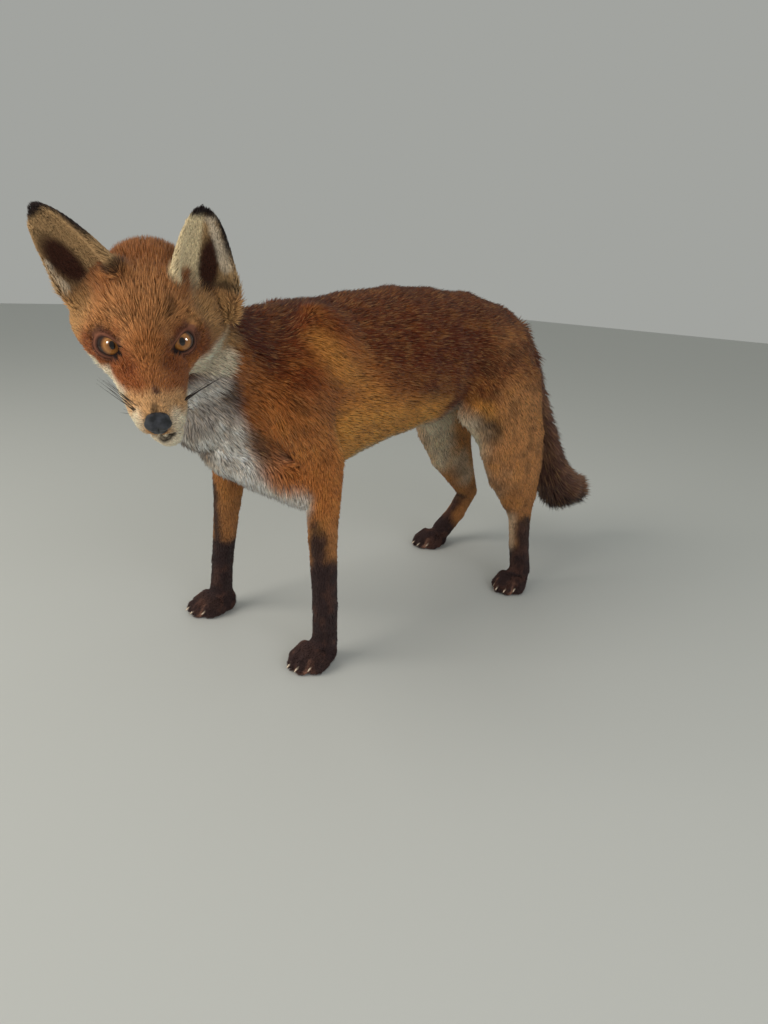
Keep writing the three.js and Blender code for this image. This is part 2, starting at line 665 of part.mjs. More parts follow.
// Neck, trunk and tail.
const torso = surface(coat, v(-120, -330, 90), v(120, 330, 420), GRID.trunk).subtract(trunkLess);
const neckRegion = surface(coat, ...NECK_REGION, GRID.neck);
const headClear = [HEAD_BLOCK, MUZZLE_BLOCK].map(([low, high]) => block(low, high, GAP / 2, headMatrix));
const neck = headClear.reduce((shape, clear) => shape.subtract(clear), neckRegion);
add("neck", cutTo(neck, ahead(CUTS.neck)), MATERIALS.red);
add("chest", cutTo(torso, aft(CUTS.neck), ahead(CUTS.chest)), MATERIALS.red);
add("belly", cutTo(torso, aft(CUTS.chest), ahead(CUTS.loin)), MATERIALS.flank);
add("rump", cutTo(torso, aft(CUTS.loin), ahead(CUTS.tail)), MATERIALS.grey);
const brush = surface(coat, v(-70, 190, 30), v(90, 450, 380), GRID.tail).subtract(trunkLess);
add("tail_root", cutTo(brush, aft(CUTS.tail), ahead(CUTS.brush)), MATERIALS.brush);
add("tail_middle", cutTo(brush, aft(CUTS.tail), aft(CUTS.brush), ahead(CUTS.tip)), MATERIALS.brush);
add("tail_tip", cutTo(brush, aft(CUTS.tail), aft(CUTS.tip)), MATERIALS.brush);

// The origin is on the floor, under the middle of the whole outline.
const middle = new THREE.Box3().setFromObject(fox).getCenter(v(0, 0, 0));
for (const mesh of fox.children) mesh.geometry.translate(-middle.x, -middle.y, 0);

export default fox;
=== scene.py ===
"""A life-size mounted red fox in its summer coat, standing on four feet with its head turned to its left."""

import json
import logging
import math
from dataclasses import dataclass, field
from enum import Enum
from typing import ClassVar, Iterable, Optional, Sequence

import bmesh
import bpy
import numpy as np
from mathutils import Matrix, Vector

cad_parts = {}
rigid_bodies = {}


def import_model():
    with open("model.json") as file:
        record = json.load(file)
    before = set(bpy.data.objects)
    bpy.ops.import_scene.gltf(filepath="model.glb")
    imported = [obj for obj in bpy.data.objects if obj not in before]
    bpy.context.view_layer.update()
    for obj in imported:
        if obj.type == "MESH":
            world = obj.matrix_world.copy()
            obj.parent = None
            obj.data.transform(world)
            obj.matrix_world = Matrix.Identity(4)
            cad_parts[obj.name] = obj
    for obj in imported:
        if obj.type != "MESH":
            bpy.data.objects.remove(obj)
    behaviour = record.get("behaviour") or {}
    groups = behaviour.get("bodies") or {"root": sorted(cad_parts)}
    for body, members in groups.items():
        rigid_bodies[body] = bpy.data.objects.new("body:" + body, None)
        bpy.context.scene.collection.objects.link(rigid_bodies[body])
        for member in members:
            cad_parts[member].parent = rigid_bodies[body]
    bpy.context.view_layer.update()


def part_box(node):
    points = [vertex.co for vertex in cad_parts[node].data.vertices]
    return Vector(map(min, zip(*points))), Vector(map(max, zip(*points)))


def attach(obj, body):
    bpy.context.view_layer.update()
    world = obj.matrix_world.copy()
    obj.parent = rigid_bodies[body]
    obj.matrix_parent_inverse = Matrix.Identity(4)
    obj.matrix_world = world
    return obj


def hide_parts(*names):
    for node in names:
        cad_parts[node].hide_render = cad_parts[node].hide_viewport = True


logging.basicConfig(level=logging.INFO, format="%(message)s")
LOG = logging.getLogger("fox")

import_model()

Point = tuple[float, float, float]

# ---------------------------------------------------------------- the body's own frame
# Sizes below are millimetres in the body's frame: the fox faces -Y, its left is +X, the floor is Z = 0,
# and its middle line is X = 0. The scene's origin stands elsewhere, so the eyes tie the two together.
HEAD_AT = np.array((94.0, -332.0, 325.0))
HEAD_TURN, HEAD_NOD, HEAD_TILT = 66.5, 29.0, 5.5
EYE_RADIUS = 9.5
EYE_SPACING = 49.0
EYE_MIDDLE = (0.0, -2.3, 1.5)
SOLE_HEIGHT = 0.6
TUFT_CLEARANCE = 0.1
MM = 0.001

# Each ear's middle in its own frame, how far its fur reaches from there, half the box that it is sampled
# in, and how softly it melts into the head.
EAR_MIDDLE = (0, -10, 30)
EAR_REACH, EAR_BOX, EAR_BLEND = 75, 62, 6.0


def eye_middle() -> np.ndarray:
    """Point midway between the eyeballs, in the scene's frame, in millimetres."""
    corners = [c for side in ("left", "right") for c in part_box("eye_" + side)]
    return np.mean(np.array([[float(v) for v in c] for c in corners]), axis=0) / MM


def to_scene(points: np.ndarray) -> np.ndarray:
    """Body-frame millimetres to scene metres."""
    return (np.asarray(points, dtype=float) - ORIGIN) * MM


def turned(axis: str, degrees: float) -> np.ndarray:
    """Rotation matrix about one axis.

    Args:
        axis: "X", "Y" or "Z".
        degrees: Angle of the turn.

    Returns:
        A 3 by 3 matrix.
    """
    return np.array(Matrix.Rotation(math.radians(degrees), 3, axis))


HEAD_ROTATION = turned("Z", HEAD_TURN) @ turned("X", HEAD_NOD) @ turned("Y", -HEAD_TILT)


def from_head(points: Sequence[float] | np.ndarray) -> np.ndarray:
    """Head-frame points (-Y to the nose, +Z to the crown, origin between the eyes) in the body's frame."""
    return np.asarray(points, dtype=float) @ HEAD_ROTATION.T + HEAD_AT


def into_head(points: np.ndarray) -> np.ndarray:
    """Body-frame points in the head's frame."""
    return (points - HEAD_AT) @ HEAD_ROTATION


ORIGIN = from_head(EYE_MIDDLE) - eye_middle()


def unit(vectors: np.ndarray) -> np.ndarray:
    """The same directions with length one."""
    vectors = np.asarray(vectors, dtype=float)
    return vectors / np.maximum(np.linalg.norm(vectors, axis=-1, keepdims=True), 1e-9)


def smooth(low: float, high: float, values: np.ndarray) -> np.ndarray:
    """Soft step from 0 at low to 1 at high."""
    t = np.clip((values - low) / (high - low), 0.0, 1.0)
    return t * t * (3.0 - 2.0 * t)


# ---------------------------------------------------------------- colours and noise
def linear(code: str) -> np.ndarray:
    """Linear colour of an sRGB hex value."""
    s = np.array([int(code[i : i + 2], 16) / 255.0 for i in (1, 3, 5)])
    return np.where(s <= 0.04045, s / 12.92, ((s + 0.055) / 1.055) ** 2.4)


def rgba(code: str) -> tuple[float, float, float, float]:
    """An sRGB hex value as a socket's linear colour."""
    r, g, b = linear(code)
    return float(r), float(g), float(b), 1.0


def lattice(cells: np.ndarray, seed: int) -> np.ndarray:
    """One fixed random number from 0 to 1 for each whole-number cell."""
    mixed = cells[..., 0] * 73856093 ^ cells[..., 1] * 19349663 ^ cells[..., 2] * 83492791 ^ seed * 2654435
    mixed = (mixed ^ (mixed >> 13)) * 1274126177 & 0x7FFFFFFF
    mixed = (mixed ^ (mixed >> 15)) * 668265263 & 0x7FFFFFFF
    return mixed / float(0x7FFFFFFF)


def clouds(points: np.ndarray, size: float, seed: int, octaves: int = 3) -> np.ndarray:
    """Soft noise from about 0 to 1.

    Args:
        points: Places in millimetres.
        size: Width of the largest blots in millimetres.
        seed: Picks the pattern.
        octaves: How many finer layers are added.

    Returns:
        One value for each point.
    """
    total = np.zeros(len(points))
    weight = 0.0
    for octave in range(octaves):
        q = points / size * 2.0**octave
        base = np.floor(q).astype(np.int64)
        t = q - base
        t = t * t * (3.0 - 2.0 * t)
        value = np.zeros(len(points))
        for corner in range(8):
            offset = np.array((corner & 1, corner >> 1 & 1, corner >> 2 & 1))
            share = np.prod(np.where(offset, t, 1.0 - t), axis=1)
            value += share * lattice(base + offset, seed + octave)
        total += value * 0.5**octave
        weight += 0.5**octave
    return total / weight


# ---------------------------------------------------------------- fur
@dataclass(frozen=True)
class Fur:
    """How the coat grows in one zone: millimetres, and degrees for the lift of its tufts off the skin."""

    depth: float
    length: float
    width: float
    lift: float
    cover: float = 1.0


class Zone(Enum):
    """Zones of the coat."""

    MUZZLE = Fur(1.3, 3.4, 0.34, 12)
    FACE = Fur(2.4, 5.2, 0.36, 15)
    CROWN = Fur(4.0, 8.8, 0.44, 33)
    RUFF = Fur(6.0, 10.5, 0.50, 23)
    EAR = Fur(0.9, 3.2, 0.34, 12)
    NECK = Fur(7.0, 11.5, 0.62, 27)
    BIB = Fur(7.5, 13.0, 0.64, 26)
    BACK = Fur(7.0, 10.5, 0.60, 32)
    FLANK = Fur(6.5, 10.0, 0.58, 28)
    BELLY = Fur(6.0, 11.0, 0.62, 22)
    THIGH = Fur(5.5, 9.0, 0.56, 29)
    SHANK = Fur(2.6, 7.0, 0.46, 25)
    SHIN = Fur(1.6, 5.2, 0.42, 22)
    PAW = Fur(1.2, 4.2, 0.40, 24)
    BRUSH = Fur(11.0, 20.0, 0.80, 33)


# ---------------------------------------------------------------- soft masses of the body
@dataclass(frozen=True)
class Mass:
    """A round-ended bar with an elliptical section that swells the coat's outline.

    start_size and end_size are the half width along `side` and the half height across it, and the coat
    lies along `lie`, which is from start to end unless it is given.
    """

    start: Sequence[float]
    end: Sequence[float]
    start_size: Sequence[float]
    end_size: Sequence[float]
    blend: float
    zone: Zone
    side: Sequence[float] = (1.0, 0.0, 0.0)
    lie: Optional[Sequence[float]] = None

    def axes(self) -> tuple[np.ndarray, float, np.ndarray, np.ndarray]:
        """Direction along the bar, its length, and its two cross directions."""
        along = np.asarray(self.end, float) - np.asarray(self.start, float)
        length = max(float(np.linalg.norm(along)), 1e-6)
        along = along / length
        side = np.asarray(self.side, float)
        wide = side - along * float(side @ along)
        wide = wide / np.linalg.norm(wide)
        return along, length, wide, np.cross(along, wide)

    def reach(self, margin: float) -> tuple[np.ndarray, np.ndarray]:
        """Corners of a box round the bar."""
        most = max(*self.start_size, *self.end_size) + margin
        ends = np.array((self.start, self.end), dtype=float)
        return ends.min(axis=0) - most, ends.max(axis=0) + most

    def distance(self, x: np.ndarray, y: np.ndarray, z: np.ndarray) -> np.ndarray:
        """Signed distance of points to the bar's surface, nearly exact close to it."""
        along, length, wide, high = self.axes()
        px, py, pz = x - self.start[0], y - self.start[1], z - self.start[2]
        s = px * along[0] + py * along[1] + pz * along[2]
        t = np.clip(s / length, 0.0, 1.0)
        w = self.start_size[0] + (self.end_size[0] - self.start_size[0]) * t
        h = self.start_size[1] + (self.end_size[1] - self.start_size[1]) * t
        c = np.minimum(w, h)
        a = (px * wide[0] + py * wide[1] + pz * wide[2]) / w
        b = (px * high[0] + py * high[1] + pz * high[2]) / h
        e = (s - t * length) / c
        k0 = np.sqrt(a * a + b * b + e * e)
        k1 = np.sqrt((a / w) ** 2 + (b / h) ** 2 + (e / c) ** 2)
        return np.where(k1 > 1e-9, k0 * (k0 - 1.0) / np.maximum(k1, 1e-9), -c)


def melted(a: np.ndarray, b: np.ndarray, blend: float) -> np.ndarray:
    """The lesser of two distances, rounded where they are within `blend` of each other."""
    overlap = np.maximum(blend - np.abs(a - b), 0.0) / blend
    return np.minimum(a, b) - overlap * overlap * blend / 4.0


@dataclass(frozen=True)
class Ear:
    """A cupped leaf: its frame has its origin at the root, +Z to the tip, and the cup opens towards -Y."""

    name: str
    sign: int
    root: Point
    out: float
    back: float
    turn: float
    width: float
    height: float = 60.5
    root_thickness: float = 6.5
    tip_thickness: float = 2.3
    hollow: tuple[float, float, float, float] = (-10.5, 20.5, 9.8, 23.0)
    frost: tuple[Point, ...] = ((-19, 0, 27), (-21, 0, 17), (-20.5, 0, 6))
    frost_width: float = 1.7

    def rotation(self) -> np.ndarray:
        """The ear's frame in the head's frame."""
        return turned("Y", self.sign * self.out) @ turned("X", -self.back) @ turned("Z", self.turn)

    def local(self, points: np.ndarray) -> np.ndarray:
        """Body-frame points in the ear's frame."""
        return (into_head(points) - np.array(self.root)) @ self.rotation()

    def direction(self, vector: Sequence[float]) -> np.ndarray:
        """A direction of the ear's frame in the body's frame."""
        return HEAD_ROTATION @ self.rotation() @ np.asarray(vector, dtype=float)

    def place(self, point: Sequence[float]) -> np.ndarray:
        """A point of the ear's frame in the body's frame."""
        return from_head(self.rotation() @ np.asarray(point, dtype=float) + np.array(self.root))

    def section(self, t: np.ndarray) -> tuple[np.ndarray, np.ndarray, np.ndarray]:
        """Half width, cup angle and thickness of the leaf at a share t of its height."""
        width = np.maximum((self.width - 1.4) * np.maximum(1.0 - t**1.5, 0.0) ** 0.5, 2.0)
        cup = np.radians(86.0 + (48.0 - 86.0) * t)
        thick = self.root_thickness + (self.tip_thickness - self.root_thickness) * np.sqrt(t)
        return width, cup, thick

    def inside(self, points: np.ndarray) -> np.ndarray:
        """Share of being on the cup's inner side, from 0 on its back to 1 within it."""
        p = self.local(points)
        t = np.clip(p[:, 2] / self.height, 0.0, 1.0)
        width, cup, thick = self.section(t)
        radius = width / np.sin(cup)
        rho = np.hypot(p[:, 0], p[:, 1] + radius + 4.0 * t * t)
        return smooth(radius - 0.25 * thick, radius - 0.7 * thick, rho)

    def near(self, points: np.ndarray) -> np.ndarray:
        """Which body-frame points lie within reach of the ear's middle."""
        return np.linalg.norm(points - self.place(EAR_MIDDLE), axis=1) < EAR_REACH

    def distance(self, points: np.ndarray) -> np.ndarray:
        """Signed distance to the leaf's skin."""
        p = self.local(points)
        t = np.clip(p[:, 2] / self.height, 0.0, 1.0)
        width, cup, thick = self.section(t)
        radius = width / np.sin(cup)
        dy = p[:, 1] + radius + 4.0 * t * t
        rho = np.hypot(p[:, 0], dy)
        angle = np.abs(np.arctan2(p[:, 0], dy))
        rounding = thick * 0.4
        q_wall = np.abs(rho - radius + thick / 2) - thick / 2 + rounding
        q_edge = (angle - cup) * np.minimum(rho, radius) + rounding
        q_top = p[:, 2] - self.height + rounding
        q_end = -12.0 - p[:, 2]
        q = np.stack((q_wall, np.maximum(q_edge, q_end), q_top))
        outside = np.linalg.norm(np.maximum(q, 0.0), axis=0)
        return outside + np.minimum(q.max(axis=0), 0.0) - rounding


EARS = (
    Ear(
        "left", 1, (35.8, 46, 13.4), 12.7, 13.5, 20, 30.0, 60.4, hollow=(9.4, 20.5, 7.6, 22.0),
        frost=((6, 0, 51), (12, 0, 41), (17.5, 0, 31), (20.5, 0, 20)), frost_width=3.4,
    ),
    Ear("right", -1, (-23.5, 47, 28.5), 37.6, 12.1, -8, 26.7, 59.5),
)

# Each leg: the middle of its sole, how far its toes turn out in degrees, and stations from the trunk
# down, each with x, y, z, half width and half depth.
LEGS: dict[str, tuple[Point, float, tuple[tuple[float, ...], ...]]] = {
    "fore_left": ((83, -158, 0), 6, (
        (50, -164, 250, 22, 34), (60, -140, 206, 17, 24), (73, -148, 130, 13, 14.5),
        (83, -151, 62, 12, 12), (83, -150, 24, 13, 12),
    )),
    "fore_right": ((-83, -176, 0), 4, (
        (-50, -186, 250, 22, 34), (-60, -168, 206, 17, 25), (-73, -168, 130, 13, 14.5),
        (-84, -168.5, 62, 11.5, 11.5), (-84, -171, 24, 12.5, 12),
    )),
    "hind_left": ((86, 162, 0), 10, (
        (50, 152, 262, 27, 58), (59, 164, 190, 24, 57), (64, 171, 150, 19, 48),
        (70, 175, 118, 15, 31), (74, 176, 94, 11.5, 17.5), (80, 173, 56, 11.5, 13), (86, 173, 24, 12.5, 12.5),
    )),
    "hind_right": ((-86, 192, 0), 6, (
        (-50, 152, 262, 27, 58), (-57, 164, 200, 24, 54), (-61, 184, 156, 19, 40),
        (-64, 208, 122, 15, 27), (-69, 240, 80, 11, 16), (-78, 228, 46, 11.5, 14), (-86, 210, 22, 13, 14),
    )),
}

# Toes from the inside of the foot outwards: place of the knuckle, and how far each reaches forwards.
TOES = ((-14, -6, 10), (-5.5, -12, 14), (5.5, -12, 14), (14, -6, 10))

TAIL_PATH = (
    (0, 224, 314), (1, 250, 282), (3, 269, 232), (8, 292, 176), (14, 315, 124), (18, 345, 92), (20, 378, 84),
)
TAIL_RADII = (22, 22, 24, 28, 31, 33, 27)

# The trunk from the breast to the rump: y, height of the middle, half width and half height.
TRUNK = (
    (-236, 250, 36, 38), (-200, 256, 50, 78), (-155, 257.5, 56, 91.5), (-110, 265, 60, 91), (-60, 277, 60, 87),
    (0, 287, 60, 84), (50, 290, 57, 81), (110, 297, 51, 71), (172, 292, 47, 62), (214, 288, 34, 42),
)


class Foot:
    """A foot's frame: origin on the floor under its middle, -Y towards the toes."""

    def __init__(self, leg: str) -> None:
        """Takes the foot's place from its leg."""
        at, out, _ = LEGS[leg]
        self.leg = leg
        self.side = 1 if leg.endswith("left") else -1
        self.at = np.array(at, dtype=float)
        self.rotation = turned("Z", self.side * out)

    def place(self, point: Sequence[float]) -> np.ndarray:
        """A point of the foot's frame in the body's frame."""
        return self.rotation @ np.asarray(point, dtype=float) + self.at

    def local(self, points: np.ndarray) -> np.ndarray:
        """Body-frame points in the foot's frame."""
        return (points - self.at) @ self.rotation

    def masses(self) -> list[Mass]:
        """The ball of the foot and its four toes."""
        across = self.rotation @ np.array((1.0, 0.0, 0.0))
        made = [Mass(self.place((0, 5, 10)), self.place((0, -10, 9)), (14.5, 14.5), (16.5, 14), 8, Zone.PAW, across)]
        for x, y, reach in TOES:
            knuckle, end = self.place((x * 0.8, y, 10)), self.place((x, y - reach, 6))
            made.append(Mass(knuckle, end, (8, 12), (7, 10), 5, Zone.PAW, across))
        return made


def head_masses() -> list[Mass]:
    """The soft masses of the head, from its own frame."""
    across = HEAD_ROTATION @ np.array((1.0, 0.0, 0.0))

    def bar(a: Point, b: Point, start: Sequence[float], end: Sequence[float], blend: float, zone: Zone) -> Mass:
        """A mass between two points of the head's frame."""
        return Mass(from_head(a), from_head(b), start, end, blend, zone, across)

    made = []
    for ear in EARS:
        pad = (ear.place((0, -9, -14)), ear.place((0, -6, -4)))
        made.append(Mass(*pad, (19, 13), (15, 9), 14, Zone.CROWN, across))
        inner = (ear.place((-ear.sign * 8, -13, -8)), ear.place((-ear.sign * 18, -16, 2)))
        made.append(Mass(*inner, (11, 11), (8.5, 8), 14, Zone.CROWN, across))
    made += [
        bar((2, 16, 8), (8, 50, 17), (37, 29), (35, 32), 1, Zone.CROWN),
        bar((0, -10, 4), (1, 22, 12), (19, 16), (32, 24), 16, Zone.CROWN),
        bar((0, -6, -6), (2, -60, -16), (16, 16), (12.5, 11), 13, Zone.FACE),
        bar((2, -62, -18), (2.5, -67, -18), (12.5, 11.5), (9.5, 9.5), 6, Zone.MUZZLE),
        bar((10, -32, -22), (11, -58, -24.5), (10.5, 11.5), (9.5, 9), 8, Zone.MUZZLE),
        bar((-8, -32, -22), (-5, -57, -23), (10, 10.5), (7.5, 8.5), 8, Zone.MUZZLE),
        bar((17, -12, -12), (12, -48, -18), (13, 13), (10, 10), 10, Zone.FACE),
        bar((-16, -12, -12), (-8, -48, -18), (13, 13), (7.5, 10), 10, Zone.FACE),
        bar((24, -2, 0), (37, 30, -4), (12, 13), (13, 17), 14, Zone.FACE),
        bar((-24, -2, 0), (-37, 32, -1), (12, 13), (14, 19), 14, Zone.FACE),
        bar((-27, 18, -16), (-32, 46, -10), (13.5, 19), (12.5, 22), 18, Zone.RUFF),
        bar((33, 18, -20), (46, 46, -18), (16, 22), (18, 27), 22, Zone.RUFF),
        bar((1, 14, -36), (6, -50, -41), (20, 11), (11, 7), 12, Zone.MUZZLE),
        bar((8, -52, -42), (8.5, -57, -41.5), (10, 7.5), (8.5, 6.5), 6, Zone.MUZZLE),
        bar((0, 8, -28), (0, 60, -30), (24, 20), (34, 32), 24, Zone.RUFF),
    ]
    return made


def body_masses() -> list[Mass]:
    """The soft masses of the trunk, neck, shoulders and haunches."""
    made = []
    for (y0, z0, w0, h0), (y1, z1, w1, h1) in zip(TRUNK, TRUNK[1:]):
        breast = y1 < -190
        lie = (0.0, 0.25, -1.0) if breast else (0.0, 1.0, -0.12)
        zone = Zone.BIB if breast else Zone.BACK
        made.append(Mass((0, y0, z0), (0, y1, z1), (w0, h0), (w1, h1), 4, zone, lie=lie))
    skull_base = from_head((0, 52, -13))
    neck_low, neck_high = np.array((0.0, -205.0, 286.0)), np.array((14.0, -262.0, 316.0))
    made.append(Mass(neck_low, neck_high, (50, 56), (46, 50), 30, Zone.NECK, lie=(0, 0.9, -0.45)))
    made.append(Mass(neck_high, skull_base, (44, 48), (40, 36), 26, Zone.NECK, lie=(-0.3, 0.8, -0.5)))
    made.append(Mass((24, -194, 198), (54, -160, 182), (24, 24), (20, 24), 14, Zone.BIB, lie=(0, 0.3, -1)))
    for s in (1, -1):
        down = (s * 0.1, 0.75, -0.75)
        made.append(Mass((s * 34, -118, 319), (s * 50, -168, 258), (24, 38), (25, 36), 24, Zone.FLANK, lie=down))
        made.append(Mass((s * 32, 150, 300), (s * 50, 152, 240), (30, 56), (27, 58), 26, Zone.THIGH, lie=down))
        made.append(Mass((s * 44, 140, 212), (s * 42, 104, 236), (18, 34), (16, 28), 22, Zone.BELLY, lie=down))
    return made


def limb_masses() -> list[Mass]:
    """The legs, feet and tail."""
    made = []
    for points, radii in ((TAIL_PATH, TAIL_RADII),):
        for a, b, r0, r1 in zip(points, points[1:], radii, radii[1:]):
            made.append(Mass(a, b, (r0, r0), (r1, r1), 4, Zone.BRUSH))
    for name, (_, _, stations) in LEGS.items():
        for above, below in zip(stations, stations[1:]):
            height = (above[2] + below[2]) / 2
            zone = Zone.THIGH if height > 170 else Zone.SHANK if height > 100 else Zone.SHIN
            blend = 12 if above is stations[0] else 3
            made.append(Mass(above[:3], below[:3], above[3:], below[3:], blend, zone))
        made += Foot(name).masses()
    return made


def span(axes: Sequence[np.ndarray], low: np.ndarray, high: np.ndarray) -> tuple[slice, ...]:
    """The part of a grid between two corners."""
    return tuple(
        slice(int(np.searchsorted(v, a)), int(np.searchsorted(v, b))) for v, a, b in zip(axes, low, high)
    )


class Outline:
    """The coat's outline as one melted field of masses, and the bare skin beneath it."""

    MARGIN = 34.0
    SHARE = 5.0

    def __init__(self) -> None:
        """Gathers the masses of the whole animal."""
        self.masses = body_masses() + head_masses() + limb_masses()

    def skin_on_grid(self, xs: np.ndarray, ys: np.ndarray, zs: np.ndarray) -> np.ndarray:
        """Distance to the skin at every crossing of a grid.

        Args:
            xs: Grid places across.
            ys: Grid places along.
            zs: Grid places upwards.

        Returns:
            Signed distances, negative inside, without the ears.
        """
        shape = (len(xs), len(ys), len(zs))
        d = np.full(shape, 1e3, dtype=np.float32)
        depth = np.zeros(shape, dtype=np.float32)
        weight = np.full(shape, 1e-9, dtype=np.float32)
        for m in self.masses:
            low, high = m.reach(self.MARGIN)
            cut = span((xs, ys, zs), low, high)
            near = m.distance(
                xs[cut[0]][:, None, None].astype(np.float32), ys[cut[1]][None, :, None].astype(np.float32),
                zs[cut[2]][None, None, :].astype(np.float32),
            ).astype(np.float32)
            d[cut] = melted(d[cut], near, m.blend)
            share = np.exp(-np.clip(near, -20, 60) / self.SHARE)
            depth[cut] += share * m.zone.value.depth
            weight[cut] += share
        return d + depth / weight

    def close(self, points: np.ndarray) -> Iterable[tuple[Mass, np.ndarray]]:
        """Each mass within reach of some of the points, with the numbers of those points."""
        for m in self.masses:
            low, high = m.reach(self.MARGIN)
            at = np.flatnonzero(np.all((points > low) & (points < high), axis=1))
            if len(at):
                yield m, at

    def skin(self, points: np.ndarray, ears: bool = True) -> np.ndarray:
        """Distance to the skin at loose points, the ears included."""
        d = np.full(len(points), 1e3)
        depth = np.zeros(len(points))
        weight = np.full(len(points), 1e-9)
        for m, at in self.close(points):
            near = m.distance(*points[at].T)
            d[at] = melted(d[at], near, m.blend)
            share = np.exp(-np.clip(near, -20, 60) / self.SHARE)
            depth[at] += share * m.zone.value.depth
            weight[at] += share
        d = d + depth / weight
        if ears:
            for ear in EARS:
                near_ear = np.flatnonzero(ear.near(points))
                d[near_ear] = melted(d[near_ear], ear.distance(points[near_ear]), EAR_BLEND)
        return d

    def settle(self, points: np.ndarray, rounds: int) -> np.ndarray:
        """Moves points onto the skin's exact surface, along its steepest slope."""
        nudge = 0.35
        for _ in range(rounds):
            d = self.skin(points)
            slope = np.stack([(self.skin(points + nudge * axis) - d) / nudge for axis in np.eye(3)], axis=1)
            size = np.maximum(np.sum(slope * slope, axis=1), 0.09)
            step = np.clip(d / size, -1.6, 1.6)
            points = points - step[:, None] * slope
        points[:, 2] = np.maximum(points[:, 2], SOLE_HEIGHT)
        return points

    def drawn(self, path: Sequence[Point]) -> np.ndarray:
        """A line of the head's frame laid closely onto the skin, in the same frame."""
        spots = [np.array(path[:1], dtype=float)]
        for a, b in zip(path, path[1:]):
            count = max(int(np.linalg.norm(np.subtract(b, a)) / 3.0), 1)
            share = (np.arange(count) + 1.0)[:, None] / count
            spots.append(np.asarray(a) + (np.asarray(b, dtype=float) - np.asarray(a)) * share)
        return into_head(self.settle(from_head(np.concatenate(spots)), 8))

    def fur(self, points: np.ndarray) -> dict[str, np.ndarray]:
        """How the coat grows at points near the skin, as a weighted mean of the masses there.

        Args:
            points: Body-frame places.

        Returns:
            Arrays named lie, length, width, lift, cover, and one share for each zone.
        """
        n = len(points)
        lie = np.zeros((n, 3))
        weight = np.full(n, 1e-9)
        sums = {name: np.zeros(n) for name in ("length", "width", "lift", "cover")}
        zones = {zone: np.zeros(n) for zone in Zone}
        for m, at in self.close(points):
            share = np.exp(-np.clip(m.distance(*points[at].T) + m.zone.value.depth, -6, 60) / self.SHARE)
            along = m.axes()[0] if m.lie is None else unit(np.array(m.lie, dtype=float))
            lie[at] += share[:, None] * along
            weight[at] += share
            zones[m.zone][at] += share
            for name, total in sums.items():
                total[at] += share * getattr(m.zone.value, name)
        grown = {name: total / weight for name, total in sums.items()}
        grown["lie"] = lie
        return grown | {zone: total / weight for zone, total in zones.items()}


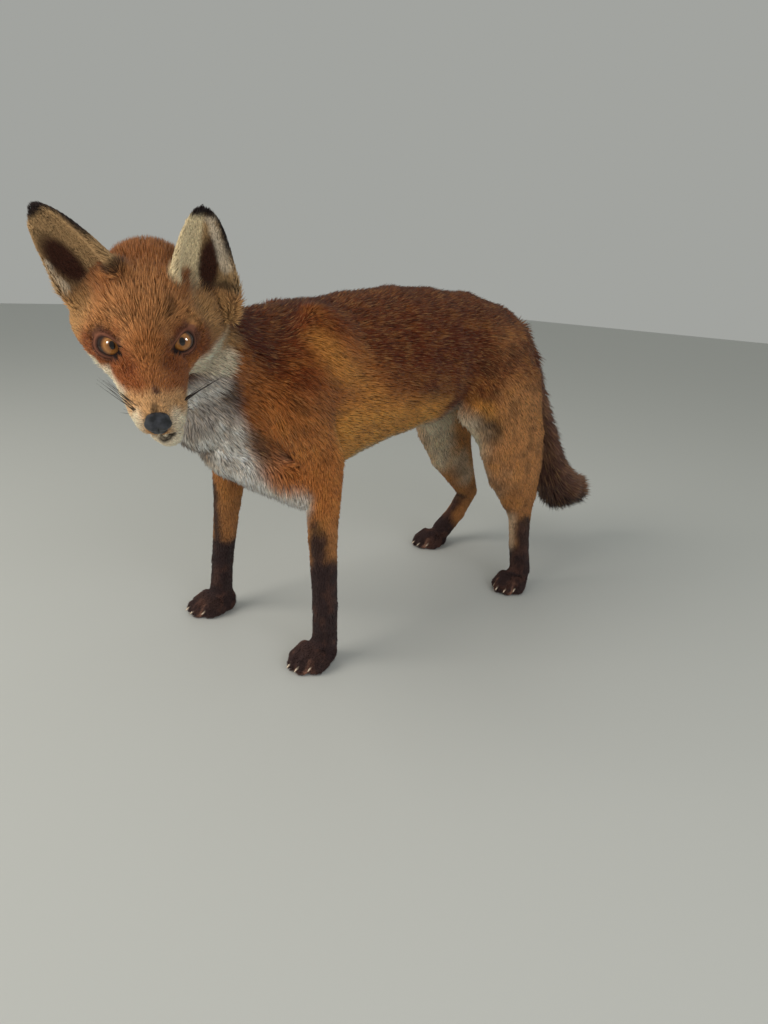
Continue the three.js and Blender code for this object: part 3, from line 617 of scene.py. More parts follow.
# ---------------------------------------------------------------- the lids' opening
@dataclass(frozen=True)
class Socket:
    """One eye's place and the almond opening between its lids.

    The opening is measured across the gaze: u from the inner corner outwards, v upwards.
    """

    sign: int
    out: float
    up: float
    look_out: float
    half_length: float
    half_height: float
    slant: float
    look_up: float = 31.0
    lid: float = 1.3
    DUCT: ClassVar[tuple[Point, ...]] = ((-0.75, -0.05, 0.66), (-0.98, -0.14, 0.35), (-1.25, -0.28, 0.3))

    def centre(self) -> np.ndarray:
        """Middle of the eyeball in the body's frame."""
        return from_head((self.sign * EYE_SPACING / 2, EYE_MIDDLE[1], EYE_MIDDLE[2]))

    def towards(self, out: float, up: float) -> np.ndarray:
        """Direction that many degrees outwards and upwards, in the head's frame."""
        a, b = math.radians(out), math.radians(up)
        return np.array((self.sign * math.sin(a) * math.cos(b), -math.cos(a) * math.cos(b), math.sin(b)))

    def look_axes(self) -> np.ndarray:
        """Rows: sideways, upwards and along the look of the painted pupil, in the body's frame."""
        gaze = HEAD_ROTATION @ self.towards(self.look_out, self.look_up)
        side = unit(np.cross(HEAD_ROTATION[:, 2], gaze))
        return np.stack((side, np.cross(gaze, side), gaze))

    def axes(self) -> np.ndarray:
        """Rows: along the opening outwards, up across it, and out of it, in the body's frame."""
        gaze = self.towards(self.out, self.up)
        flat = self.towards(self.out + 90.0, 0.0)
        rise = np.cross(gaze, flat) * self.sign
        slant = math.radians(self.slant)
        along = flat * math.cos(slant) + rise * math.sin(slant)
        across = rise * math.cos(slant) - flat * math.sin(slant)
        return np.stack((along, across, gaze)) @ HEAD_ROTATION.T

    def opening(self, points: np.ndarray) -> tuple[np.ndarray, np.ndarray, np.ndarray]:
        """Where points lie about the opening.

        Args:
            points: Body-frame places.

        Returns:
            Distance outside the opening's edge (negative between the lids), distance from the eyeball's
            middle, and the share of the direction that faces along the gaze.
        """
        off = points - self.centre()
        along, across, gaze = (off @ axis for axis in self.axes())
        radius = np.linalg.norm(off, axis=1)
        reach = EYE_RADIUS / np.maximum(radius, 1e-6)
        u, v = along * reach, across * reach
        v = v - 0.6 * (u / self.half_length) ** 2
        half_height = self.half_height * (1.0 + 0.12 * np.clip(u / self.half_length, -1.0, 1.0))
        almond = (np.hypot(u / self.half_length, v / half_height) - 1.0) * self.half_height
        return almond, radius, gaze / np.maximum(radius, 1e-6)

    def corner(self, points: np.ndarray) -> np.ndarray:
        """Distance to the dark line that runs from the inner corner down towards the nose."""
        along, across, gaze = self.axes()
        centre = self.centre()
        ends = [centre + (EYE_RADIUS + 0.5) * unit(along * u + across * v + gaze * w) for u, v, w in self.DUCT]
        return line_distance(points, ends)

    def shape(self, points: np.ndarray) -> np.ndarray:
        """Draws the skin over the eyeball as two lids with rounded rims.

        Args:
            points: Body-frame places of the skin's points.

        Returns:
            The same points, moved only near the eye.
        """
        edge, radius, facing = self.opening(points)
        centre = self.centre()
        rim = EYE_RADIUS + self.lid
        hidden = EYE_RADIUS - 1.2
        wanted = hidden + (rim - hidden) * smooth(-0.7, 0.7, edge) + 0.16 * np.clip(edge, 0.0, 5.0)
        wanted -= 0.5 * np.exp(-(((edge - 3.0) / 0.8) ** 2))
        share = (1.0 - smooth(3.5, 9.5, edge)) * smooth(0.05, 0.3, facing) * smooth(28.0, 20.0, radius)
        new_radius = radius + (wanted - radius) * share
        return centre + (points - centre) * (new_radius / np.maximum(radius, 1e-6))[:, None]


SOCKETS = (Socket(1, 23.0, 19.0, 5.0, 7.9, 5.4, 28.0), Socket(-1, 4.0, 24.0, -18.0, 7.7, 5.3, 34.0))


# ---------------------------------------------------------------- strokes and markings
@dataclass(frozen=True)
class Stroke:
    """A fold or swelling along a line of the head's frame: millimetres, inwards where depth is positive."""

    path: tuple[Point, ...]
    width: float
    depth: float


def mirrored(path: Sequence[Point], sign: int) -> tuple[Point, ...]:
    """A path for the left side (1) or the right side (-1)."""
    return tuple((sign * x, y, z) for x, y, z in path)


def line_distance(points: np.ndarray, path: Sequence[Sequence[float]]) -> np.ndarray:
    """Distance from points to a line through several places."""
    best = np.full(len(points), 1e9)
    ends = path[1:] if len(path) > 1 else path
    for a, b in zip(path, ends):
        a, b = np.asarray(a, dtype=float), np.asarray(b, dtype=float)
        span = b - a
        t = np.clip((points - a) @ span / max(float(span @ span), 1e-9), 0.0, 1.0)
        best = np.minimum(best, np.linalg.norm(points - a - t[:, None] * span, axis=1))
    return best


MOUTH_LEFT = (
    (1, -61, -38), (4, -62, -39), (8, -63, -37), (12, -62, -34),
    (16, -61, -31), (20, -52, -29), (24, -34, -29), (26, -14, -30),
)
MOUTH_RIGHT = ((1, -61, -38), (-4, -57, -39), (-9, -50, -38), (-14, -36, -36), (-20, -16, -34))
PHILTRUM = ((2.5, -77, -22), (2.5, -73, -28), (1.5, -66, -34), (1, -61, -38))
MOUTH_LINES = (MOUTH_LEFT, MOUTH_RIGHT, PHILTRUM)


def face_strokes() -> list[Stroke]:
    """The folds of the face."""
    made = [Stroke(PHILTRUM, 0.9, 1.0), Stroke(MOUTH_LEFT, 1.2, 2.2), Stroke(MOUTH_RIGHT, 1.2, 2.0)]
    for s in (1, -1):
        made += [
            Stroke(mirrored(((5, -64, -28), (12, -50, -28), (17, -34, -27)), s), 3.2, -0.8),
            Stroke(mirrored(((8, -14, 2), (9, -24, -3)), s), 4.0, 1.6),
            Stroke(mirrored(((12, -10, 10), (24, -7, 13), (36, 4, 10)), s), 4.5, -1.8),
            Stroke(mirrored(((18, -17, -9), (30, -6, -11)), s), 4.0, -0.8),
        ]
    made.append(Stroke(((1, -4, 16), (3, 20, 34)), 6.0, 0.8))
    return made


class Pelt(Enum):
    """Colours of the coat as sRGB hex values."""

    MAHOGANY = "#70331c"
    NAPE = "#572313"
    BACK = "#7b4326"
    RUST = "#8c4621"
    FLANK = "#c27a40"
    STRAW = "#eeaa55"
    CREAM = "#f3e3c8"
    WHITE = "#f8f3ea"
    SMOKE = "#837269"
    SOOT = "#4d3d33"
    FAWN = "#d3975f"
    SHANK_FAWN = "#bb824f"
    TAN = "#d2a675"
    CROWN = "#996239"
    BROW = "#b88252"
    MUZZLE = "#a66839"
    CHEEK_RUST = "#94532c"
    EYE_RUST = "#7a3f20"
    STOCKING = "#403130"
    BLACK = "#241c1b"
    SCAR = "#5a3a30"
    LID = "#6d483b"
    FLESH = "#b98a74"
    FACE_FAWN = "#be9664"
    # Dark blots of the coat, also used as painted shade across the left ear's base.
    SMUDGE = "#35251c"
    EAR_EDGE = "#a58760"
    EAR_CREAM = "#dcc9a2"
    EAR_HOLLOW = "#3f261d"
    EAR_HAIR = "#d9cbb4"
    BRUSH = "#775345"
    BRUSH_PALE = "#a97b59"


ZONE_COLOURS = {
    Zone.MUZZLE: Pelt.TAN, Zone.FACE: Pelt.MUZZLE, Zone.CROWN: Pelt.CROWN, Zone.RUFF: Pelt.RUST,
    Zone.EAR: Pelt.EAR_EDGE, Zone.NECK: Pelt.NAPE, Zone.BIB: Pelt.RUST, Zone.BACK: Pelt.BACK,
    Zone.FLANK: Pelt.RUST, Zone.BELLY: Pelt.FAWN, Zone.THIGH: Pelt.FAWN, Zone.SHANK: Pelt.SHANK_FAWN,
    Zone.SHIN: Pelt.SHANK_FAWN, Zone.PAW: Pelt.STOCKING, Zone.BRUSH: Pelt.BRUSH,
}


@dataclass(frozen=True)
class Patch:
    """A marking along a line: its colour fades out over `edge` of its radius and is broken up by `blot`."""

    path: tuple[Point, ...]
    radius: float
    colour: Pelt
    strength: float = 1.0
    edge: float = 0.5
    blot: float = 0.3

    def share(self, points: np.ndarray, noise: np.ndarray, path: Optional[np.ndarray] = None) -> np.ndarray:
        """How much of the marking's colour shows at each point, along its own path or a given one."""
        line = self.path if path is None else path
        q = line_distance(points, line) / self.radius + self.blot * (noise - 0.5) * 2.0
        return self.strength * (1.0 - smooth(1.0 - self.edge, 1.0 + self.edge, q))


def head_patches() -> list[Patch]:
    """Markings of the head, in its own frame, from the ground colour up."""
    return [
        Patch(((2, 4, 32), (0, -14, 16)), 24, Pelt.BROW, 0.75, 0.6),
        Patch(((-26, -2, 22), (-36, 8, 16)), 13, Pelt.BROW, 0.8, 0.6),
        Patch(((27, -6, 22), (42, 10, 14)), 13, Pelt.BROW, 0.8, 0.6),
        Patch(((4, -25, 10), (3, -52, -2)), 12, Pelt.MUZZLE, 0.7, 0.6),
        Patch(((-44, 26, 12), (-50, 40, -6)), 20, Pelt.FACE_FAWN, 0.8, 0.5),
        Patch(((48, 20, 6), (62, 44, -8)), 20, Pelt.FACE_FAWN, 0.8, 0.5),
        Patch(((-26, -18, -8), (-16, -36, -4), (-13, -48, -8)), 10, Pelt.CHEEK_RUST, 0.9, 0.5),
        Patch(((26, -18, -6), (22, -34, -8), (18, -48, -10)), 10, Pelt.CHEEK_RUST, 0.65, 0.5),
        Patch(((32, -4, -38), (48, 18, -34), (60, 42, -40)), 17, Pelt.CREAM, 0.95, 0.3, 0.2),
        Patch(((16, -58, -24), (24, -44, -25), (30, -22, -30)), 8.5, Pelt.CREAM, 0.95, 0.35, 0.2),
        Patch(
            ((-13, -56, -20), (-20, -46, -18), (-30, -20, -21), (-38, 0, -23), (-42, 22, -26)),
            8, Pelt.CREAM, 0.95, 0.4, 0.2,
        ),
        Patch(((2, -62, -6), (3, -68, -12)), 11, Pelt.TAN, 0.9, 0.5),
        Patch(((-10, -60, -10), (-14, -52, -13)), 8, Pelt.TAN, 0.85, 0.5),
        Patch(((15, -60, -11), (19, -51, -14)), 8, Pelt.TAN, 0.85, 0.5),
        Patch(((-9, -64, -17), (-10, -60, -29)), 6.0, Pelt.CREAM, 0.8, 0.6),
        Patch(((14, -66, -18), (17, -60, -30)), 6.5, Pelt.CREAM, 0.85, 0.6),
        Patch(((8, -60, -44), (4, -30, -46), (0, 10, -52)), 16, Pelt.CREAM, 1.0, 0.3, 0.15),
        Patch(((32, -8, 4), (40, -2, 0)), 12, Pelt.EYE_RUST, 0.8, 0.45),
        Patch(((-31, -8, 4), (-38, -2, 0)), 11, Pelt.EYE_RUST, 0.8, 0.45),
        Patch(((16, -20, 3), (15, -28, -1)), 7, Pelt.EYE_RUST, 0.75, 0.5),
        Patch(((-14, -20, 3), (-12, -28, -1)), 7, Pelt.EYE_RUST, 0.75, 0.5),
        Patch(((22, -8, 15), (32, -5, 15)), 5, Pelt.EYE_RUST, 0.7, 0.5),
        Patch(((-18, -8, 15), (-28, -6, 14)), 5, Pelt.EYE_RUST, 0.7, 0.5),
        Patch(((-24, -2, 27), (-12, -5, 26)), 4.0, Pelt.SOOT, 0.25, 0.6, 0.8),
        Patch(((3, -52, -2), (4, -54, -3)), 2.4, Pelt.SCAR, 0.9, 0.5, 0.7),
        Patch(MOUTH_LEFT[:4], 2.0, Pelt.BLACK, 1.0, 0.4, 0.1),
        Patch(((11, -62, -35), (17, -61, -30), (19, -56, -29)), 2.4, Pelt.BLACK, 0.9, 0.4, 0.1),
        Patch(MOUTH_RIGHT[:4], 1.4, Pelt.BLACK, 0.9, 0.5, 0.1),
        Patch(PHILTRUM, 1.5, Pelt.BLACK, 1.0, 0.5, 0.1),
    ]


def collar_patches() -> list[Patch]:
    """Pale fur of the left cheek where it spreads over the neck, in the head's frame."""
    return [
        Patch(((60, 44, -32), (70, 60, -40)), 13, Pelt.FACE_FAWN, 0.85, 0.5),
        Patch(((28, 38, -74), (46, 46, -72)), 13, Pelt.WHITE, 0.6, 0.6),
        Patch(((38, 30, -44), (49, 42, -50), (60, 49, -56)), 12, Pelt.CREAM, 0.9, 0.4),
    ]


def body_patches() -> list[Patch]:
    """Markings of the body, in its own frame, from the ground colour up."""
    made = [
        Patch(((0, -190, 350), (0, -60, 372), (0, 60, 376)), 46, Pelt.BACK, 0.8, 0.5),
        Patch(((0, 120, 360), (0, 220, 330)), 60, Pelt.BACK, 0.8, 0.5),
        Patch(((0, -236, 346), (0, -150, 366)), 48, Pelt.NAPE, 0.6, 0.6),
    ]
    for s in (1, -1):
        made += [
            Patch(((s * 66, -70, 318), (s * 60, 20, 312), (s * 58, 80, 318)), 34, Pelt.MAHOGANY, 0.8, 0.6),
            Patch(((s * 60, 100, 270), (s * 66, 160, 290), (s * 60, 200, 300)), 40, Pelt.BACK, 0.85, 0.6),
            Patch(((s * 70, -200, 236), (s * 76, -160, 226), (s * 78, -150, 190)), 40, Pelt.FLANK, 0.85, 0.5),
            Patch(((s * 66, -112, 290), (s * 60, -80, 250), (s * 50, -20, 216)), 36, Pelt.FLANK, 0.85, 0.5),
            Patch(((s * 82, 150, 232), (s * 82, 170, 180)), 42, Pelt.FAWN, 0.9, 0.5),
            Patch(
                ((s * 60, -150, 324), (s * 66, -128, 300), (s * 64, -100, 280), (s * 62, -76, 260)),
                15, Pelt.STRAW, 0.6, 0.7,
            ),
            Patch(
                ((s * 60, -104, 230), (s * 56, -60, 226), (s * 50, -10, 222), (s * 44, 20, 226)),
                29, Pelt.STRAW, 0.85, 0.5, 0.2,
            ),
            Patch(((s * 36, -120, 182), (s * 42, -60, 194), (s * 42, 30, 214)), 25, Pelt.STRAW, 1.0, 0.5, 0.2),
            Patch(((s * 53, 42, 246), (s * 58, 104, 238)), 10, Pelt.STRAW, 0.7, 0.6),
            Patch(((s * 63, -63, 275), (s * 62, -56, 268)), 6, Pelt.SMUDGE, 0.6, 0.6, 0.6),
            Patch(((s * 55, 21, 254), (s * 54, 28, 244)), 7.5, Pelt.SMUDGE, 0.65, 0.6, 0.6),
            Patch(((s * 60, 66, 270), (s * 61, 58, 264)), 6, Pelt.SMUDGE, 0.5, 0.6, 0.6),
            Patch(((s * 54, 74, 222), (s * 62, 112, 214)), 14, Pelt.SMUDGE, 0.8, 0.6, 0.7),
            Patch(((s * 59, 98, 286), (s * 60, 108, 280)), 8, Pelt.SMUDGE, 0.4, 0.6, 0.8),
            Patch(((s * 72, -176, 262), (s * 70, -184, 268)), 6, Pelt.SMUDGE, 0.35, 0.6, 0.8),
            Patch(((s * 54, -236, 308), (s * 52, -214, 284), (s * 48, -198, 252)), 15, Pelt.FLANK, 0.7, 0.6, 0.5),
            Patch(((s * 30, 84, 206), (s * 30, 130, 190), (s * 36, 150, 140)), 30, Pelt.CREAM, 0.85, 0.5),
        ]
    made += [
        Patch(((0, -60, 186), (0, 60, 206), (0, 120, 220)), 28, Pelt.CREAM, 0.8, 0.5),
        Patch(((8, -266, 258), (4, -246, 230), (0, -214, 190), (0, -170, 172)), 46, Pelt.WHITE, 1.0, 0.22, 0.25),
        Patch(((0, -214, 190), (28, -196, 176), (46, -168, 164)), 24, Pelt.WHITE, 0.95, 0.3, 0.3),
        Patch(((43, -200, 226), (54, -184, 196)), 15, Pelt.FLANK, 0.85, 0.5),
        Patch(((38, -212, 236), (41, -200, 216)), 8, Pelt.SOOT, 0.65, 0.6, 0.7),
        Patch(((-46, 190, 142), (-52, 214, 112)), 16, Pelt.CREAM, 0.55, 0.6),
        Patch(((70, 160, 98), (73, 160, 52)), 9, Pelt.CREAM, 0.5, 0.6),
    ]
    return made


def leg_patches() -> list[Patch]:
    """Dark stockings and pale edges of the legs, in the body's frame."""
    made = [
        Patch(((81, -166, 148), (84, -166, 104)), 12, Pelt.STOCKING, 0.95, 0.3, 0.5),
        Patch(((83, -152, 92), (84, -152, 20)), 22, Pelt.STOCKING, 1.0, 0.25, 0.25),
        Patch(((-76, -185, 156), (-75, -184, 88)), 9, Pelt.STOCKING, 0.95, 0.4, 0.5),
        Patch(((-84, -168, 74), (-84, -170, 20)), 22, Pelt.STOCKING, 1.0, 0.25, 0.25),
        Patch(((88, 174, 86), (93, 176, 44)), 15, Pelt.STOCKING, 0.95, 0.3, 0.4),
        Patch(((86, 172, 32), (86, 166, 12)), 26, Pelt.STOCKING, 1.0, 0.3, 0.2),
        Patch(((-71, 224, 80), (-81, 206, 46)), 10, Pelt.STOCKING, 0.95, 0.3, 0.4),
        Patch(((-86, 202, 20), (-86, 194, 12)), 27, Pelt.STOCKING, 1.0, 0.3, 0.15),
    ]
    for leg in LEGS:
        foot = Foot(leg)
        for gap in (-10.0, 0.0, 10.0):
            ends = (tuple(foot.place((gap, -19, 13))), tuple(foot.place((gap, -26, 5))))
            made.append(Patch(ends, 2.8, Pelt.FLESH, 0.7, 0.5, 0.5))
    return made


def markings(outline: Outline, points: np.ndarray, normals: np.ndarray, grown: dict) -> np.ndarray:
    """The coat's colour at points near the skin, with painted shade across the left ear's base and on the tail's
    forward-facing side.

    Args:
        outline: The coat's outline.
        points: Body-frame places.
        normals: Outward directions there.
        grown: What Outline.fur and Skin.ears say of the same places.

    Returns:
        Linear colours, one row for each point.
    """
    colour = np.zeros((len(points), 3))
    weight = np.full((len(points), 1), 1e-9)
    for zone, pelt in ZONE_COLOURS.items():
        share = grown[zone][:, None]
        colour += share * linear(pelt.value)
        weight += share
    colour /= weight
    blots = clouds(points, 26.0, 5)
    fine = clouds(points, 7.0, 11)
    noise = 0.65 * blots + 0.35 * fine

    def lay(share: np.ndarray, pelt: Pelt) -> None:
        """Lays one colour over what is there."""
        nonlocal colour
        colour = colour + (linear(pelt.value) - colour) * np.clip(share, 0.0, 1.0)[:, None]

    skull = np.clip(sum(grown[z] for z in (Zone.MUZZLE, Zone.FACE, Zone.CROWN, Zone.RUFF)), 0.0, 1.0)
    for patch in body_patches() + leg_patches():
        lay(patch.share(points, noise) * (1.0 - skull), patch.colour)
    breast = grown[Zone.BIB] + grown[Zone.NECK] + grown[Zone.FLANK] + grown[Zone.BACK]
    bib = 1.0 - smooth(40.0, 66.0, line_distance(points, ((20, -262, 262), (0, -224, 210))) + 20 * (noise - 0.5))
    bib = bib * np.clip(breast, 0.0, 1.0) * smooth(186.0, 226.0, points[:, 2] + 16.0 * (fine - 0.5))
    lay(bib * smooth(0.50, 0.64, clouds(points, 20.0, 23)) * 0.6, Pelt.SMOKE)
    lay(bib * smooth(0.58, 0.70, clouds(points, 15.0, 31)) * 0.65, Pelt.SOOT)
    trunk = np.clip(grown[Zone.THIGH] + grown[Zone.SHANK] + 0.7 * grown[Zone.FLANK] + 0.6 * grown[Zone.BACK], 0.0, 1.0)
    mottle = clouds(points, 10.0, 41)
    lay(trunk * smooth(0.54, 0.70, mottle) * 0.38, Pelt.SMUDGE)
    lay(trunk * smooth(0.46, 0.30, mottle) * 0.22, Pelt.STRAW)
    low = (grown[Zone.SHIN] + grown[Zone.PAW]) * smooth(0.54, 0.68, clouds(points, 9.0, 53))
    lay(low * 0.35, Pelt.BRUSH)
    face = np.flatnonzero(skull > 0.0)
    near_head = into_head(points[face])
    for patch in head_patches():
        share = np.zeros(len(points))
        share[face] = patch.share(near_head, noise[face], outline.drawn(patch.path)) * skull[face]
        lay(share, patch.colour)
    beside_head = into_head(points)
    for patch in collar_patches():
        lay(patch.share(beside_head, noise) * (1.0 - grown["ear_left"]), patch.colour)
    for ear in EARS:
        share = grown["ear_" + ear.name]
        p = ear.local(points)
        t = np.clip(p[:, 2] / ear.height, 0.0, 1.0)
        half_width, _, _ = ear.section(t)
        across = p[:, 0] / half_width
        inner = ear.inside(points)
        cup = smooth(9.0, 5.0, ear.distance(points)) * smooth(-12.0, 0.0, p[:, 2]) * inner
        flat = p * np.array((1.0, 0.0, 1.0))
        lay(share, Pelt.EAR_EDGE)
        if ear.sign > 0:
            lay(share * (1.0 - smooth(0.0, 0.16, across)), Pelt.EAR_CREAM)
            apron = line_distance(flat, ((-7, 0, 2), (0, 0, 17))) + 3.0 * (fine - 0.5)
            lay(smooth(12.0, 6.0, ear.distance(points)) * (1.0 - smooth(4.0, 9.0, apron)) * 0.75, Pelt.EAR_CREAM)
        x, z, wide, high = ear.hollow
        hollow = np.hypot((p[:, 0] - x) / wide, (p[:, 2] - z) / high) + 0.45 * (noise - 0.5)
        lay(np.maximum(share * inner, cup) * (1.0 - smooth(0.62, 1.26, hollow)), Pelt.EAR_HOLLOW)
        frost = line_distance(flat, ear.frost) / ear.frost_width + 1.4 * (fine - 0.5)
        strength = 0.8 if ear.sign > 0 else 0.55
        lay(np.maximum(share * inner, cup) * (1.0 - smooth(0.6, 1.6, frost)) * strength, Pelt.EAR_HAIR)
        if ear.sign > 0:
            # Painted shade: a dark line across the lower part of the left ear, near its base.
            ear_base_shade = line_distance(flat, ((6, 0, 4.5), (14, 0, 5), (23, 0, 7))) + 3.0 * (fine - 0.5)
            lay(np.maximum(share, cup) * (1.0 - smooth(1.5, 4.0, ear_base_shade)) * 0.7, Pelt.SMUDGE)
        back = share * (1.0 - inner) * smooth(-0.97, -0.78, across)
        lay(back * smooth(0.25, 0.55, t + 0.15 * (noise - 0.5)), Pelt.BLACK)
        lay(back * (1.0 - smooth(0.15, 0.45, t)) * (1.0 - smooth(0.55, 0.85, across)), Pelt.RUST)
        near_edge = 0.70 if ear.sign > 0 else 0.80
        brink = smooth(near_edge, near_edge + 0.15, across + 0.1 * (noise - 0.5)) * smooth(0.35, 0.62, t)
        lay(share * np.maximum(brink, smooth(0.86, 0.93, t + 0.05 * (noise - 0.5))), Pelt.BLACK)
    smudges = (
        (((-13, 21, 50), (-17, 19, 49), (-21, 17, 46)), 7.0, 0.85), (((20, 0, 30), (19, -4, 26)), 3.0, 0.55),
        (((1.5, -66, -6), (1.5, -67.5, -8)), 2.0, 0.7),
    )
    for path, radius, strength in smudges:
        share = np.zeros(len(points))
        blot = Patch(path, radius, Pelt.SMUDGE, strength, 0.5, 0.5)
        share[face] = blot.share(near_head, noise[face], outline.drawn(path))
        lay(share * np.clip(skull + 0.6, 0.0, 1.0), Pelt.SMUDGE)
    for socket in SOCKETS:
        edge, radius, facing = socket.opening(points)
        near = (facing > 0.1) & (radius < EYE_RADIUS + 5.0)
        lay(np.where(near, 1.0 - smooth(1.3, 3.0, edge + 1.0 * (fine - 0.5)), 0.0) * 0.8, Pelt.LID)
        dark = np.minimum(edge, socket.corner(points) - 1.3)
        lay(np.where(near, 1.0 - smooth(0.0, 0.8, dark + 0.4 * (fine - 0.5)), 0.0), Pelt.BLACK)
    tail = grown[Zone.BRUSH]
    tail_end = smooth(330.0, 385.0, points[:, 1]) * tail
    lay(tail * smooth(0.5, 0.66, blots) * 0.5, Pelt.BRUSH_PALE)
    lay(tail_end * smooth(70.0, 100.0, points[:, 2]) * 0.8, Pelt.BRUSH_PALE)
    lay(tail * (1.0 - smooth(68.0, 100.0, points[:, 2] + 14.0 * (fine - 0.5))), Pelt.BLACK)
    # Painted shade: the tail's side that faces forwards, towards the hind legs, is darkened.
    lay(tail * (1.0 - smooth(0.0, 0.5, normals[:, 1] + 0.4)) * 0.4, Pelt.BLACK)
    return colour * (0.9 + 0.2 * fine)[:, None]


# ---------------------------------------------------------------- mesh and node helpers
def surface_net(d: np.ndarray, axes: Sequence[np.ndarray]) -> tuple[np.ndarray, np.ndarray]:
    """Closed surface where a sampled distance changes sign.

    Args:
        d: Distances at the crossings of a grid, positive all round its border.
        axes: The grid's places along each axis.

    Returns:
        Points, and four point numbers for each face.
    """
    cells = tuple(n - 1 for n in d.shape)
    numbers, places, faces = [], [], []
    for axis in range(3):
        first = tuple(slice(0, -1) if i == axis else slice(None) for i in range(3))
        second = tuple(slice(1, None) if i == axis else slice(None) for i in range(3))
        a, b = d[first], d[second]
        crossed = (a < 0) != (b < 0)
        at = np.argwhere(crossed)
        fa, fb = a[crossed].astype(float), b[crossed].astype(float)
        p = np.stack([axes[i][at[:, i]] for i in range(3)], axis=1).astype(float)
        p[:, axis] += fa / (fa - fb) * (axes[axis][at[:, axis] + 1] - axes[axis][at[:, axis]])
        corner = []
        for ds, dt in ((0, 0), (1, 0), (1, 1), (0, 1)):
            c = at.copy()
            c[:, (axis + 1) % 3] -= ds
            c[:, (axis + 2) % 3] -= dt
            corner.append(np.ravel_multi_index(tuple(c.T), cells))
            numbers.append(corner[-1])
            places.append(p)
        quad = np.stack(corner, axis=1)
        outwards = fa >= 0
        quad[outwards] = quad[outwards][:, ::-1]
        faces.append(quad)
    every = np.concatenate(numbers)
    used, back = np.unique(every, return_inverse=True)
    count = np.bincount(back).astype(float)
    spots = np.concatenate(places)
    points = np.stack([np.bincount(back, weights=spots[:, i]) / count for i in range(3)], axis=1)
    return points, np.searchsorted(used, np.concatenate(faces))


def mesh_object(
    name: str, points: np.ndarray, faces: Iterable[Sequence[int]], smooth_faces: bool = True
) -> bpy.types.Object:
    """A mesh object at the origin.

    Args:
        name: Name of the object and its mesh.
        points: Body-frame millimetres.
        faces: Point numbers round each face.
        smooth_faces: Whether it is shaded smooth.

    Returns:
        The new object, linked to the scene.
    """
    mesh = bpy.data.meshes.new(name)
    mesh.from_pydata(to_scene(points).tolist(), [], [list(map(int, f)) for f in faces])
    mesh.polygons.foreach_set("use_smooth", [smooth_faces] * len(mesh.polygons))
    mesh.update()
    made = bpy.data.objects.new(name, mesh)
    bpy.context.scene.collection.objects.link(made)
    return made


def mesh_points(mesh: bpy.types.Mesh, what: str = "co") -> np.ndarray:
    """The points (or normals) of a mesh as an array."""
    flat = np.empty(len(mesh.vertices) * 3)
    mesh.vertices.foreach_get(what, flat)
    return flat.reshape(-1, 3)


def store(mesh: bpy.types.Mesh, name: str, values: np.ndarray) -> None:
    """Keeps one number, or one vector, for each point of a mesh."""
    kind, key = ("FLOAT", "value") if values.ndim == 1 else ("FLOAT_VECTOR", "vector")
    layer = mesh.attributes.get(name) or mesh.attributes.new(name, kind, "POINT")
    layer.data.foreach_set(key, np.ascontiguousarray(values, dtype=np.float32).ravel())


def paint(mesh: bpy.types.Mesh, name: str, colours: np.ndarray) -> None:
    """Keeps one linear colour for each point of a mesh."""
    layer = mesh.attributes.get(name) or mesh.attributes.new(name, "FLOAT_COLOR", "POINT")
    full = np.concatenate((np.clip(colours, 0.0, 1.0), np.ones((len(colours), 1))), axis=1)
    layer.data.foreach_set("color", full.astype(np.float32).ravel())


def add_node(tree: bpy.types.NodeTree, kind: str, inputs: Optional[dict] = None, **settings: object) -> bpy.types.Node:
    """Adds a node.

    Args:
        tree: The tree that gets it.
        kind: The node's type name.
        inputs: Socket name or number to a value, or to the output socket that feeds it.
        settings: The node's own properties.

    Returns:
        The new node.
    """
    node = tree.nodes.new(kind)
    for key, value in settings.items():
        setattr(node, key, value)
    for key, value in (inputs or {}).items():
        if isinstance(value, bpy.types.NodeSocket):
            tree.links.new(value, node.inputs[key])
        else:
            node.inputs[key].default_value = value
    return node


def live(sockets: Iterable[bpy.types.NodeSocket], name: Optional[str] = None) -> bpy.types.NodeSocket:
    """The first socket in use, among those of one name where a name is given."""
    return next(s for s in sockets if s.enabled and name in (None, s.name))


def ramp_stops(ramp: bpy.types.Node, stops: Sequence[tuple[float, str]]) -> None:
    """Gives a colour ramp its stops, each a place from 0 to 1 and an sRGB hex colour."""
    elements = ramp.color_ramp.elements
    for number, (at, code) in enumerate(stops):
        element = elements[number] if number < len(elements) else elements.new(at)
        element.position = at
        element.color = rgba(code)


def new_material(name: str) -> tuple[bpy.types.Material, bpy.types.NodeTree, bpy.types.Node]:
    """An empty material with a Principled shader."""
    material = bpy.data.materials.new(name)
    material.use_nodes = True
    tree = material.node_tree
    return material, tree, next(n for n in tree.nodes if n.type == "BSDF_PRINCIPLED")


